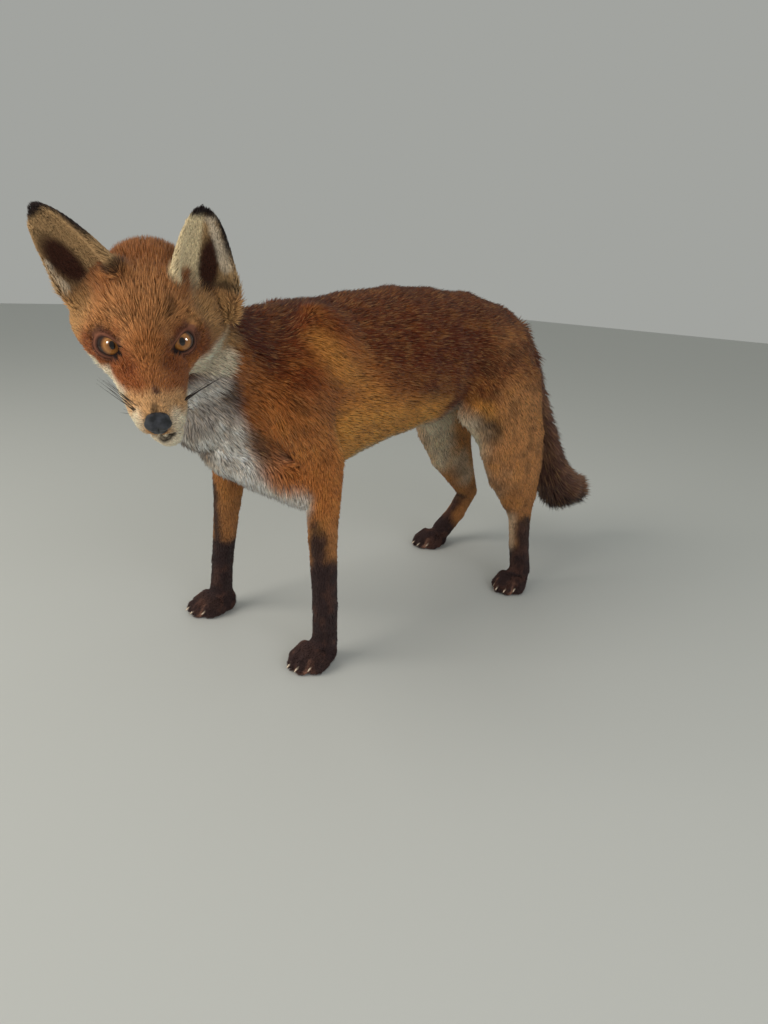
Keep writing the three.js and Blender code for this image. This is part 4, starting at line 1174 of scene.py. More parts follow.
# ---------------------------------------------------------------- skin
@dataclass
class Skin:
    """The mounted hide: one closed surface with lids, lips, ears and toes."""

    fine: float = 1.95
    coarse: float = 4.3
    foot_step: float = 2.3
    outline: Outline = field(default_factory=Outline)

    def grid(self) -> tuple[np.ndarray, np.ndarray, np.ndarray]:
        """Sampling places, closer together round the head and the feet."""
        spans = (
            ((-122, self.coarse), (4, self.fine), (168, 0)), ((-404, self.fine), (-246, self.coarse), (428, 0)),
            ((-7, self.foot_step), (34, self.coarse), (246, self.fine), (424, 0)),
        )
        made = []
        for stops in spans:
            places = [np.arange(a, b, step) for (a, step), (b, _) in zip(stops, stops[1:])]
            made.append(np.concatenate(places))
        return made[0], made[1], made[2]

    def raw_surface(self) -> tuple[np.ndarray, np.ndarray]:
        """Points and faces of the sampled skin."""
        xs, ys, zs = self.grid()
        d = self.outline.skin_on_grid(xs, ys, zs)
        for ear in EARS:
            middle = ear.place(EAR_MIDDLE)
            cut = span((xs, ys, zs), middle - EAR_BOX, middle + EAR_BOX)
            mesh = np.meshgrid(xs[cut[0]], ys[cut[1]], zs[cut[2]], indexing="ij")
            loose = np.stack([m.ravel() for m in mesh], axis=1)
            d[cut] = melted(d[cut], ear.distance(loose).reshape(mesh[0].shape), EAR_BLEND)
        floor = np.float32(SOLE_HEIGHT) - zs.astype(np.float32)
        d = np.maximum(d, floor[None, None, :])
        d[[0, -1]] = d[:, [0, -1]] = d[:, :, [0, -1]] = 1e3
        return surface_net(d, (xs, ys, zs))

    def refine(self, mesh: bpy.types.Mesh) -> None:
        """Divides the faces round the eyes, the muzzle and the feet."""
        points = mesh_points(mesh) / MM + ORIGIN
        near = into_head(points)
        wanted = (np.abs(near[:, 0]) < 26) & (near[:, 1] < -30) & (near[:, 2] < 4)
        wanted |= points[:, 2] < 30
        for socket in SOCKETS:
            wanted |= np.linalg.norm(points - socket.centre(), axis=1) < 19
        build = bmesh.new()
        build.from_mesh(mesh)
        build.verts.ensure_lookup_table()
        edges = [e for e in build.edges if wanted[e.verts[0].index] and wanted[e.verts[1].index]]
        bmesh.ops.subdivide_edges(build, edges=edges, cuts=1, use_grid_fill=True)
        bmesh.ops.triangulate(build, faces=[f for f in build.faces if len(f.verts) > 4])
        build.to_mesh(mesh)
        build.free()

    def carve(self, points: np.ndarray, normals: np.ndarray) -> np.ndarray:
        """Presses the folds of the face into the skin and draws its lids."""
        near = into_head(points)
        face = np.flatnonzero((np.abs(near[:, 0]) < 60) & (near[:, 1] < 40) & (near[:, 1] > -90))
        for stroke in face_strokes():
            off = line_distance(near[face], self.outline.drawn(stroke.path))
            share = np.exp(-((off / stroke.width) ** 2))
            points[face] -= normals[face] * (stroke.depth * share)[:, None]
        for socket in SOCKETS:
            points = socket.shape(points)
        return points

    def head_lie(self, points: np.ndarray) -> np.ndarray:
        """Lie of the coat on the head: back from the nose, and down and out on the ruffs."""
        p = into_head(points)
        flow = unit(p - np.array((0.0, -76.0, -12.0)))
        ruff = smooth(5.0, 40.0, p[:, 1]) * smooth(4.0, -22.0, p[:, 2])
        flow[:, 0] += np.sign(p[:, 0]) * 0.55 * ruff
        flow[:, 2] -= 0.75 * ruff
        crown = smooth(0.0, 30.0, p[:, 1]) * smooth(16.0, 34.0, p[:, 2])
        flow[:, 1] += 0.4 * crown
        return unit(flow) @ HEAD_ROTATION.T

    def grow(self, points: np.ndarray, normals: np.ndarray) -> dict:
        """How the coat grows on the finished skin.

        Args:
            points: Body-frame places of its points.
            normals: Its outward directions.

        Returns:
            Arrays named direction, length, width, cover and the share of each zone and ear.
        """
        grown = self.outline.fur(points)
        skull = np.clip(sum(grown[z] for z in (Zone.MUZZLE, Zone.FACE, Zone.CROWN, Zone.RUFF)), 0.0, 1.0)[:, None]
        lie = unit(grown["lie"]) * (1.0 - skull) + self.head_lie(points) * skull
        under = smooth(-0.15, -0.6, normals[:, 2]) * (1.0 - skull[:, 0]) * smooth(150.0, 190.0, points[:, 2])
        for name in ("length", "width", "lift", "cover"):
            belly = getattr(Zone.BELLY.value, name)
            grown[name] = grown[name] + (belly - grown[name]) * under * 0.7
        for ear in EARS:
            p = ear.local(points)
            share = smooth(2.2, 0.4, ear.distance(points)) * smooth(-2.0, 6.0, p[:, 2])
            share *= ear.near(points)
            grown["ear_" + ear.name] = share
            for zone in Zone:
                grown[zone] = grown[zone] * (1.0 - share)
            inner = smooth(0.2, 0.7, normals @ ear.direction((0.0, -1.0, 0.0)))
            fringe = inner * smooth(0.45, 0.85, np.abs(p[:, 0]) / ear.width) * smooth(48.0, 34.0, p[:, 2])
            for name in ("length", "width", "lift", "cover"):
                value = getattr(Zone.EAR.value, name)
                grown[name] = grown[name] + (value - grown[name]) * share
            skirt = smooth(-0.5, -0.8, ear.sign * p[:, 0] / ear.width * -1.0) * smooth(24.0, 8.0, p[:, 2])
            grown["length"] = grown["length"] + (3.0 * fringe + 4.0 * skirt) * share
            grown["lift"] = grown["lift"] + (14.0 * fringe + 12.0 * skirt) * share
            up = np.array((0.0, 0.0, 1.0))[None, :] - np.sign(p[:, :1]) * fringe[:, None] * np.array((0.9, 0.0, 0.0))
            lie = lie * (1.0 - share[:, None]) + unit(up @ ear.rotation().T @ HEAD_ROTATION.T) * share[:, None]
        cover = grown["cover"] * np.where(points[:, 2] < 2.0, 0.0, 1.0)
        near = into_head(points)
        nose = np.linalg.norm((near - np.array((2.5, -71.0, -16.0))) / np.array((8.2, 7.5, 7.4)), axis=1)
        cover = cover * smooth(0.95, 1.12, nose)
        for path in MOUTH_LINES:
            lip = line_distance(near, self.outline.drawn(path))
            cover = cover * smooth(1.1, 2.1, lip)
            grown["length"] = grown["length"] * (0.45 + 0.55 * smooth(1.0, 7.0, lip))
        for socket in SOCKETS:
            edge, radius, facing = socket.opening(points)
            seen = (facing > 0.1) & (radius < EYE_RADIUS + 9.0)
            cover = cover * np.where(seen, smooth(0.9, 2.6, edge), 1.0)
            soft = np.where(seen, 0.30 + 0.70 * smooth(1.0, 13.0, edge), 1.0)
            grown["length"] = grown["length"] * soft
            grown["width"] = grown["width"] * (0.5 + 0.5 * soft)
        lift = np.radians(grown["lift"])
        against = np.sum(unit(lie) * normals, axis=1)
        flat = unit(lie) - normals * against[:, None]
        rise = np.maximum(np.sin(lift), 0.8 * against)
        grown["direction"] = unit(flat * np.cos(lift)[:, None] + normals * rise[:, None])
        for name, least in (("length", 1.5), ("width", 0.3)):
            grown[name] = np.maximum(grown[name], least)
        grown["cover"] = cover / (grown["length"] * grown["width"]) ** 0.86
        return grown

    def build(self, material: bpy.types.Material) -> bpy.types.Object:
        """Makes the hide and keeps on it everything that the coat grows from."""
        points, faces = self.raw_surface()
        points = self.outline.settle(points, 2)
        piece = mesh_object("skin", points, faces)
        mesh = piece.data
        self.refine(mesh)
        points = self.outline.settle(mesh_points(mesh) / MM + ORIGIN, 2)
        mesh.vertices.foreach_set("co", to_scene(points).ravel())
        mesh.update()
        points = self.carve(points, mesh_points(mesh, "normal"))
        mesh.vertices.foreach_set("co", to_scene(points).ravel())
        mesh.update()
        mesh.polygons.foreach_set("use_smooth", [True] * len(mesh.polygons))
        normals = mesh_points(mesh, "normal")
        grown = self.grow(points, normals)
        colours = markings(self.outline, points, normals, grown)
        store(mesh, "lie", grown["direction"])
        for name in ("length", "width", "cover"):
            store(mesh, "coat_" + name, grown[name])
        ticked = grown[Zone.BACK] + grown[Zone.THIGH] + 0.6 * grown[Zone.CROWN] + 0.5 * grown[Zone.FLANK]
        ticked += 0.8 * grown[Zone.BIB] + 0.9 * grown[Zone.BRUSH] + 0.4 * grown[Zone.SHANK]
        ticked += 0.4 * grown[Zone.FACE] + 0.7 * grown[Zone.NECK]
        store(mesh, "ticking", np.clip(ticked, 0.0, 1.0))
        store(mesh, "bare", 1.0 - smooth(0.0, 0.05, grown["cover"]))
        paint(mesh, "markings", colours)
        mesh.materials.append(material)
        LOG.info("skin: %d points, %d faces", len(points), len(mesh.polygons))
        return piece


# ---------------------------------------------------------------- coat
@dataclass(frozen=True)
class Chart:
    """One rectangle of the unwrap, for what lies round one line of the body."""

    name: str
    path: tuple[Point, ...]
    room: tuple[float, float, float, float]

    def unwrap(self, points: np.ndarray) -> np.ndarray:
        """Places on the unwrap: round the line across, and along the line upwards."""
        a, b = np.array(self.path[0], float), np.array(self.path[-1], float)
        along = unit(b - a)
        side = unit(np.cross(along, np.array((0.31, 0.17, 0.93))))
        high = np.cross(along, side)
        off = points - a
        angle = np.arctan2(off @ high, off @ side)
        t = np.clip((off @ along) / float(np.linalg.norm(b - a)), 0.0, 1.0)
        u0, v0, u1, v1 = self.room
        return np.stack((u0 + (u1 - u0) * (angle / (2 * math.pi) + 0.5), v0 + (v1 - v0) * t), axis=1)


def charts() -> list[Chart]:
    """The unwrap's rectangles, wider where more tufts grow."""
    head_line = (tuple(from_head((0, -80, -16))), tuple(from_head((0, 70, 4))))
    made = [
        Chart("trunk", ((0, -250, 275), (0, 240, 290)), (0.0, 0.0, 1.0, 0.34)),
        Chart("head", head_line, (0.0, 0.35, 0.62, 0.80)),
        Chart("neck", ((0, -190, 285), (20, -300, 315)), (0.63, 0.35, 1.0, 0.56)),
        Chart("tail", (TAIL_PATH[0], (14, 330, 100), (20, 400, 84)), (0.63, 0.57, 1.0, 0.70)),
        Chart(
            "ear_left", (tuple(EARS[0].place((0, -14, 0))), tuple(EARS[0].place((0, -8, 60)))),
            (0.63, 0.71, 0.81, 0.80),
        ),
        Chart(
            "ear_right", (tuple(EARS[1].place((0, -14, 0))), tuple(EARS[1].place((0, -8, 60)))),
            (0.82, 0.71, 1.0, 0.80),
        ),
    ]
    for i, (name, (_, _, stations)) in enumerate(LEGS.items()):
        room = (0.25 * i, 0.81, 0.25 * i + 0.24, 1.0)
        made.append(Chart(name, (stations[0][:3], stations[-1][:2] + (0,)), room))
    return made


def unwrap_roots(roots: np.ndarray) -> np.ndarray:
    """Place of each tuft's root on the unwrap of the skin's own shape."""
    every = charts()
    near = np.stack([line_distance(roots, chart.path) for chart in every])
    reach = {"trunk": 80.0, "neck": 55.0, "head": 40.0, "tail": 34.0, "ear_left": 16.0, "ear_right": 16.0}
    near = near / np.array([reach.get(chart.name, 30.0) for chart in every])[:, None]
    pick = np.argmin(near, axis=0)
    places = np.zeros((len(roots), 2))
    for i, chart in enumerate(every):
        at = pick == i
        places[at] = chart.unwrap(roots[at])
    return places


def own_squares(places: np.ndarray, count: int) -> np.ndarray:
    """Gives each tuft the free square of the unwrap that is nearest its root's place.

    Args:
        places: Wanted places from 0 to 1.
        count: Squares along each side.

    Returns:
        Whole-number column and row of each tuft's square.
    """
    reach = 14
    steps = [(i, j) for i in range(-reach, reach + 1) for j in range(-reach, reach + 1)]
    steps.sort(key=lambda s: s[0] * s[0] + s[1] * s[1])
    taken = np.zeros((count, count), dtype=bool)
    wanted = np.clip((places * count).astype(int), 0, count - 1)
    got = wanted.copy()
    for n, (i, j) in enumerate(wanted.tolist()):
        for di, dj in steps:
            a, b = i + di, j + dj
            if 0 <= a < count and 0 <= b < count and not taken[a, b]:
                taken[a, b] = True
                got[n] = (a, b)
                break
    return got


WAIST = 0.36


@dataclass
class Coat:
    """The short summer coat: closed kite-shaped tufts that lie along the body, in several thin layers."""

    layers: int = 8
    tufts: int = 46000
    ruffle: float = 0.13
    squares: int = 341

    def tuft(self) -> bpy.types.Object:
        """One tuft, of unit width and length, from its root up Z, arched towards +X."""
        points = [(0.0, 0.0, -0.06), (1.3, 0.5, WAIST), (1.3, -0.5, WAIST), (0.0, 0.0, 1.0)]
        mesh = bpy.data.meshes.new("tuft")
        mesh.from_pydata(points, [], [(0, 2, 1), (0, 1, 3), (0, 3, 2), (3, 1, 2)])
        mesh.polygons.foreach_set("use_smooth", [True] * 4)
        store(mesh, "along", np.array((0.0, WAIST, WAIST, 1.0)))
        made = bpy.data.objects.new("tuft", mesh)
        bpy.context.scene.collection.objects.link(made)
        return made

    def tree(self) -> bpy.types.NodeTree:
        """Geometry Nodes that set one tuft on each of many random places of the hide."""
        tree = bpy.data.node_groups.new("coat_growth", "GeometryNodeTree")
        face = tree.interface
        face.new_socket("Geometry", in_out="OUTPUT", socket_type="NodeSocketGeometry")
        face.new_socket("Geometry", in_out="INPUT", socket_type="NodeSocketGeometry")
        for name, kind in (
            ("Tuft", "NodeSocketObject"), ("Density", "NodeSocketFloat"), ("Ruffle", "NodeSocketFloat"),
            ("Seed", "NodeSocketInt"), ("Finish", "NodeSocketMaterial"),
        ):
            face.new_socket(name, in_out="INPUT", socket_type=kind)
        given = add_node(tree, "NodeGroupInput").outputs

        def named(name: str, kind: str) -> bpy.types.NodeSocket:
            """A value kept on the hide."""
            node = add_node(tree, "GeometryNodeInputNamedAttribute", {"Name": name}, data_type=kind)
            return live(node.outputs, "Attribute")

        def maths(how: str, a: object, b: object) -> bpy.types.NodeSocket:
            """One sum."""
            return add_node(tree, "ShaderNodeMath", {0: a, 1: b}, operation=how).outputs[0]

        def vectors(how: str, a: object, b: object) -> bpy.types.NodeSocket:
            """One vector sum."""
            return add_node(tree, "ShaderNodeVectorMath", {0: a, 1: b}, operation=how).outputs[0]

        def chance(low: float, high: float, salt: int) -> bpy.types.NodeSocket:
            """A random number for each tuft."""
            seed = maths("ADD", given["Seed"], float(salt))
            values = {"Min": low, "Max": high}
            node = add_node(tree, "FunctionNodeRandomValue", {"Seed": seed}, data_type="FLOAT")
            for key, value in values.items():
                live(node.inputs, key).default_value = value
            return live(node.outputs)

        density = maths("MULTIPLY", named("coat_cover", "FLOAT"), given["Density"])
        spread = add_node(
            tree, "GeometryNodeDistributePointsOnFaces",
            {"Mesh": given["Geometry"], "Density": density, "Seed": given["Seed"]},
        )
        jitter = add_node(tree, "ShaderNodeCombineXYZ", {i: chance(-1.0, 1.0, 11 + i) for i in range(3)}).outputs[0]
        ruffle = {0: jitter, "Scale": given["Ruffle"]}
        scaled = add_node(tree, "ShaderNodeVectorMath", ruffle, operation="SCALE").outputs[0]
        direction = vectors("ADD", named("lie", "FLOAT_VECTOR"), scaled)
        turn = add_node(
            tree, "FunctionNodeAxesToRotation",
            {"Primary Axis": direction, "Secondary Axis": spread.outputs["Normal"]}, primary_axis="Z",
            secondary_axis="X",
        )
        wide = maths("MULTIPLY", named("coat_width", "FLOAT"), chance(0.75, 1.25, 21))
        long = maths("MULTIPLY", named("coat_length", "FLOAT"), chance(0.70, 1.15, 22))
        wide, long = maths("MULTIPLY", wide, MM), maths("MULTIPLY", long, MM)
        size = add_node(tree, "ShaderNodeCombineXYZ", {0: wide, 1: wide, 2: long}).outputs[0]
        points = spread.outputs["Points"]
        place = add_node(tree, "GeometryNodeInputPosition").outputs[0]
        for name, kind, value in (("root", "FLOAT_VECTOR", place), ("strand", "FLOAT", chance(0.0, 1.0, 23))):
            keep = add_node(
                tree, "GeometryNodeStoreNamedAttribute", {"Geometry": points, "Name": name}, data_type=kind,
                domain="POINT",
            )
            tree.links.new(value, live(keep.inputs, "Value"))
            points = keep.outputs[0]
        shape = add_node(tree, "GeometryNodeObjectInfo", {"Object": given["Tuft"]}).outputs["Geometry"]
        stand = add_node(
            tree, "GeometryNodeInstanceOnPoints",
            {"Points": points, "Instance": shape, "Rotation": turn.outputs[0], "Scale": size},
        )
        real = add_node(tree, "GeometryNodeRealizeInstances", {"Geometry": stand.outputs[0]})
        dress = add_node(tree, "GeometryNodeSetMaterial", {"Geometry": real.outputs[0], "Material": given["Finish"]})
        add_node(tree, "NodeGroupOutput", {0: dress.outputs[0]})
        return tree

    def density(self, skin: bpy.types.Object) -> float:
        """The factor that gives each layer its number of tufts."""
        mesh = skin.data
        cover = np.empty(len(mesh.vertices))
        mesh.attributes["coat_cover"].data.foreach_get("value", cover)
        mesh.calc_loop_triangles()
        corners = np.empty(len(mesh.loop_triangles) * 3, dtype=np.int32)
        mesh.loop_triangles.foreach_get("vertices", corners)
        corners = corners.reshape(-1, 3)
        p = mesh_points(mesh)[corners]
        area = np.linalg.norm(np.cross(p[:, 1] - p[:, 0], p[:, 2] - p[:, 0]), axis=1) / 2
        return self.tufts / float(np.sum(area * cover[corners].mean(axis=1)))

    def bake_map(self, mesh: bpy.types.Mesh) -> int:
        """Lays each tuft of a layer on its own small square of the unwrap, and returns how many there are."""
        flat = np.empty(len(mesh.vertices) * 3)
        mesh.attributes["root"].data.foreach_get("vector", flat)
        roots = flat.reshape(-1, 4, 3)[:, 0] / MM + ORIGIN
        squares = own_squares(unwrap_roots(roots), self.squares)
        spots = np.array(((0.5, 0.04), (0.06, 0.40), (0.94, 0.40), (0.5, 0.96)))
        places = ((squares[:, None, :] + spots[None, :, :]) / self.squares).reshape(-1, 2)
        loops = np.empty(len(mesh.loops), dtype=np.int32)
        mesh.loops.foreach_get("vertex_index", loops)
        layer = mesh.uv_layers.get("OFBake") or mesh.uv_layers.new(name="OFBake")
        layer.uv.foreach_set("vector", places[loops].astype(np.float32).ravel())
        return len(roots)

    def build(self, skin: bpy.types.Object, material: bpy.types.Material) -> list[bpy.types.Object]:
        """Grows every layer of the coat on the hide."""
        tuft, tree = self.tuft(), self.tree()
        sockets = {s.name: s.identifier for s in tree.interface.items_tree if s.in_out == "INPUT"}
        density = self.density(skin)
        made = []
        for number in range(self.layers):
            modifier = skin.modifiers.new("coat", "NODES")
            modifier.node_group = tree
            modifier[sockets["Tuft"]] = tuft
            modifier[sockets["Density"]] = density
            modifier[sockets["Ruffle"]] = self.ruffle
            modifier[sockets["Seed"]] = 101 + 17 * number
            modifier[sockets["Finish"]] = material
            seen = bpy.context.evaluated_depsgraph_get()
            mesh = bpy.data.meshes.new_from_object(skin.evaluated_get(seen), depsgraph=seen)
            skin.modifiers.remove(modifier)
            mesh.name = f"coat_{number + 1}"
            count = self.bake_map(mesh)
            points = mesh_points(mesh)
            points[:, 2] = np.maximum(points[:, 2], TUFT_CLEARANCE * MM)
            mesh.vertices.foreach_set("co", points.ravel())
            for name in ("root", "lie", "coat_length", "coat_width", "coat_cover"):
                if name in mesh.attributes:
                    mesh.attributes.remove(mesh.attributes[name])
            piece = bpy.data.objects.new(mesh.name, mesh)
            bpy.context.scene.collection.objects.link(piece)
            made.append(piece)
            LOG.info("%s: %d tufts, %d triangles", piece.name, count, len(mesh.polygons))
        bpy.data.objects.remove(tuft)
        return made


# ---------------------------------------------------------------- finishes
@dataclass(frozen=True)
class HideFinish:
    """Tanned hide under the coat: matt, with a fine grain of hair stumps, and darkened well below the tufts where they
    grow, partly as the darker underfur and partly as painted shade between the tufts.
    """

    roughness: float = 0.85
    grain_mm: float = 1.1

    def material(self) -> bpy.types.Material:
        """Builds the finish."""
        made, tree, shader = new_material("tanned_hide_underfur")
        mark = add_node(tree, "ShaderNodeAttribute", attribute_name="markings")
        place = add_node(tree, "ShaderNodeTexCoord").outputs["Object"]
        fine = {"Vector": place, "Scale": 1.0 / (self.grain_mm * MM), "Detail": 3.0}
        grain = add_node(tree, "ShaderNodeTexNoise", fine)
        bare = add_node(tree, "ShaderNodeAttribute", attribute_name="bare").outputs["Fac"]
        # Where the coat grows, the hide keeps 0.35 to 0.75 of the markings: partly the darker underfur, partly painted
        # shade between the tufts. Bare lids and lips keep 0.8 to 1.1.
        least = add_node(tree, "ShaderNodeMath", {0: bare, 1: 0.45, 2: 0.35}, operation="MULTIPLY_ADD").outputs[0]
        most = add_node(tree, "ShaderNodeMath", {0: bare, 1: 0.35, 2: 0.75}, operation="MULTIPLY_ADD").outputs[0]
        limits = {"Value": grain.outputs[0], "To Min": least, "To Max": most}
        shade = add_node(tree, "ShaderNodeMapRange", limits)
        shaded = {0: mark.outputs["Color"], "Scale": shade.outputs[0]}
        dark = add_node(tree, "ShaderNodeVectorMath", shaded, operation="SCALE")
        tree.links.new(dark.outputs[0], shader.inputs["Base Color"])
        bump = add_node(tree, "ShaderNodeBump", {"Height": grain.outputs[0], "Strength": 0.5, "Distance": 0.4 * MM})
        tree.links.new(bump.outputs[0], shader.inputs["Normal"])
        shader.inputs["Roughness"].default_value = self.roughness
        shader.inputs["Specular IOR Level"].default_value = 0.2
        return made


@dataclass(frozen=True)
class CoatFinish:
    """Guard hair: soft keratin sheen, darker at the root, with some tufts tipped black and some banded pale."""

    roughness: float = 0.62
    sheen: float = 0.05
    tip: str = "#2a1a13"
    band: str = "#c99e68"

    def material(self) -> bpy.types.Material:
        """Builds the finish."""
        made, tree, shader = new_material("summer_guard_hair")
        mark = add_node(tree, "ShaderNodeAttribute", attribute_name="markings").outputs["Color"]
        along = add_node(tree, "ShaderNodeAttribute", attribute_name="along").outputs["Fac"]
        strand = add_node(tree, "ShaderNodeAttribute", attribute_name="strand").outputs["Fac"]
        ticking = add_node(tree, "ShaderNodeAttribute", attribute_name="ticking").outputs["Fac"]

        def ramp(
            value: bpy.types.NodeSocket, low: float, high: float, start: float, end: float
        ) -> bpy.types.NodeSocket:
            """A value carried from one range to another."""
            inputs = {"Value": value, "From Min": low, "From Max": high, "To Min": start, "To Max": end}
            return add_node(tree, "ShaderNodeMapRange", inputs).outputs[0]

        def times(a: bpy.types.NodeSocket, b: bpy.types.NodeSocket) -> bpy.types.NodeSocket:
            """Product of two values."""
            return add_node(tree, "ShaderNodeMath", {0: a, 1: b}, operation="MULTIPLY").outputs[0]

        def blend(share: bpy.types.NodeSocket, below: bpy.types.NodeSocket, above: object) -> bpy.types.NodeSocket:
            """One colour laid over another."""
            inputs = {"Factor": share, "A": below, "B": above}
            node = add_node(tree, "ShaderNodeMix", data_type="RGBA")
            for key, value in inputs.items():
                socket = live(node.inputs, key)
                if isinstance(value, bpy.types.NodeSocket):
                    tree.links.new(value, socket)
                else:
                    socket.default_value = value
            return live(node.outputs)

        level = times(ramp(along, 0.0, 0.7, 0.60, 1.15), ramp(strand, 0.0, 1.0, 0.75, 1.30))
        body = add_node(tree, "ShaderNodeVectorMath", {0: mark, "Scale": level}, operation="SCALE").outputs[0]
        most = {0: body, 1: (0.92, 0.92, 0.92)}
        body = add_node(tree, "ShaderNodeVectorMath", most, operation="MINIMUM").outputs[0]
        black = times(times(ramp(strand, 0.20, 0.12, 0.0, 0.85), ticking), ramp(along, 0.3, 0.7, 0.2, 1.0))
        pale = times(times(ramp(strand, 0.80, 0.90, 0.0, 0.5), ticking), ramp(along, 0.2, 0.6, 0.3, 1.0))
        colour = blend(pale, blend(black, body, rgba(self.tip)), rgba(self.band))
        tree.links.new(colour, shader.inputs["Base Color"])
        shader.inputs["Roughness"].default_value = self.roughness
        shader.inputs["Specular IOR Level"].default_value = 0.12
        shader.inputs["Sheen Weight"].default_value = self.sheen
        shader.inputs["Sheen Roughness"].default_value = 0.4
        return made


@dataclass(frozen=True)
class GlassEyeFinish:
    """Painted glass eye: an amber iris with fine spokes round a dark pupil, under a clear, very smooth coat."""

    sign: int
    pupil_mm: float = 3.0
    iris_mm: float = 7.4

    def material(self) -> bpy.types.Material:
        """Builds the finish about the eye's own gaze."""
        made, tree, shader = new_material("painted_glass_eye_" + ("left" if self.sign > 0 else "right"))
        socket = SOCKETS[0 if self.sign > 0 else 1]
        middle = to_scene(socket.centre())
        side, across, gaze = socket.look_axes()
        basis = np.stack((side, across, gaze), axis=1)
        turn = Matrix(basis.tolist()).to_euler()
        place = add_node(tree, "ShaderNodeTexCoord").outputs["Object"]
        inputs = {"Vector": place, "Location": tuple(middle), "Rotation": tuple(turn)}
        local = add_node(tree, "ShaderNodeMapping", inputs, vector_type="TEXTURE").outputs[0]
        axes = add_node(tree, "ShaderNodeSeparateXYZ", {0: local}).outputs
        flat = add_node(tree, "ShaderNodeCombineXYZ", {0: axes[0], 1: axes[1]}).outputs[0]
        radius = add_node(tree, "ShaderNodeVectorMath", {0: flat}, operation="LENGTH").outputs["Value"]
        wider = add_node(tree, "ShaderNodeMath", {0: axes[0], 1: 1.45}, operation="MULTIPLY").outputs[0]
        oval = add_node(tree, "ShaderNodeCombineXYZ", {0: wider, 1: axes[1]}).outputs[0]
        slit = add_node(tree, "ShaderNodeVectorMath", {0: oval}, operation="LENGTH").outputs["Value"]
        angle = add_node(tree, "ShaderNodeMath", {0: axes[1], 1: axes[0]}, operation="ARCTAN2").outputs[0]
        share = add_node(tree, "ShaderNodeMath", {0: radius, 1: 1.0 / (10.0 * MM)}, operation="MULTIPLY").outputs[0]
        spokes_at = add_node(tree, "ShaderNodeCombineXYZ", {0: angle, 1: share}).outputs[0]
        stretched = add_node(tree, "ShaderNodeMapping", {"Vector": spokes_at, "Scale": (9.0, 3.0, 1.0)}).outputs[0]
        spokes = add_node(tree, "ShaderNodeTexNoise", {"Vector": stretched, "Scale": 1.0, "Detail": 4.0}).outputs[0]
        wobble = add_node(tree, "ShaderNodeMath", {0: spokes, 1: 0.05}, operation="MULTIPLY").outputs[0]
        ring = add_node(tree, "ShaderNodeMath", {0: share, 1: wobble}, operation="ADD").outputs[0]
        ramp = add_node(tree, "ShaderNodeValToRGB", {0: ring})
        iris = self.iris_mm / 10.0
        stops = (
            (0.0, "#3a2612"), (0.22, "#603c1c"), (0.40, "#8a5a2c"), (iris - 0.20, "#9c6b38"),
            (iris - 0.09, "#6c431f"), (iris, "#2a170b"), (0.95, "#150c08"),
        )
        ramp_stops(ramp, stops)
        light = add_node(tree, "ShaderNodeMapRange", {"Value": spokes, "To Min": 0.6, "To Max": 1.4}).outputs[0]
        reach = {"Value": slit, "From Min": (self.pupil_mm - 0.3) * MM, "From Max": (self.pupil_mm + 0.3) * MM}
        shut = add_node(tree, "ShaderNodeMapRange", {**reach, "To Min": 0.05, "To Max": 1.0}).outputs[0]
        light = add_node(tree, "ShaderNodeMath", {0: light, 1: shut}, operation="MULTIPLY").outputs[0]
        lit = {0: ramp.outputs[0], "Scale": light}
        tint = add_node(tree, "ShaderNodeVectorMath", lit, operation="SCALE").outputs[0]
        tree.links.new(tint, shader.inputs["Base Color"])
        shader.inputs["Roughness"].default_value = 0.25
        shader.inputs["IOR"].default_value = 1.5
        shader.inputs["Specular IOR Level"].default_value = 0.1
        shader.inputs["Coat Weight"].default_value = 0.9
        shader.inputs["Coat Roughness"].default_value = 0.03
        return made


@dataclass(frozen=True)
class NoseFinish:
    """Varnished nose leather: slate black with fine pebbled grain and a satin gloss."""

    pebble_mm: float = 0.9

    def material(self) -> bpy.types.Material:
        """Builds the finish."""
        made, tree, shader = new_material("varnished_nose_leather")
        place = add_node(tree, "ShaderNodeTexCoord").outputs["Object"]
        cells = {"Vector": place, "Scale": 1.0 / (self.pebble_mm * MM)}
        pebble = add_node(tree, "ShaderNodeTexVoronoi", cells).outputs[0]
        worn = add_node(tree, "ShaderNodeTexNoise", {"Vector": place, "Scale": 260.0, "Detail": 3.0}).outputs[0]
        ramp = add_node(tree, "ShaderNodeValToRGB", {0: worn})
        ramp_stops(ramp, ((0.35, "#141518"), (0.70, "#34363c")))
        tree.links.new(ramp.outputs[0], shader.inputs["Base Color"])
        bump = add_node(tree, "ShaderNodeBump", {"Height": pebble, "Strength": 0.35, "Distance": 0.25 * MM})
        tree.links.new(bump.outputs[0], shader.inputs["Normal"])
        shader.inputs["Roughness"].default_value = 0.5
        shader.inputs["Coat Weight"].default_value = 0.12
        shader.inputs["Coat Roughness"].default_value = 0.3
        return made


@dataclass(frozen=True)
class ClawFinish:
    """Claw horn: dark grey-brown keratin, streaked along its length, paler towards the point."""

    streak_mm: float = 0.6

    def material(self) -> bpy.types.Material:
        """Builds the finish."""
        made, tree, shader = new_material("claw_horn")
        along = add_node(tree, "ShaderNodeAttribute", attribute_name="along").outputs["Fac"]
        place = add_node(tree, "ShaderNodeTexCoord").outputs["Object"]
        fine = {"Vector": place, "Scale": 1.0 / (self.streak_mm * MM)}
        streak = add_node(tree, "ShaderNodeTexNoise", fine).outputs[0]
        mixed = add_node(tree, "ShaderNodeMath", {0: streak, 1: 0.35, 2: along}, operation="MULTIPLY_ADD").outputs[0]
        ramp = add_node(tree, "ShaderNodeValToRGB", {0: mixed})
        ramp_stops(ramp, ((0.25, "#5a4a40"), (1.0, "#d8c6ae")))
        tree.links.new(ramp.outputs[0], shader.inputs["Base Color"])
        shader.inputs["Roughness"].default_value = 0.35
        return made


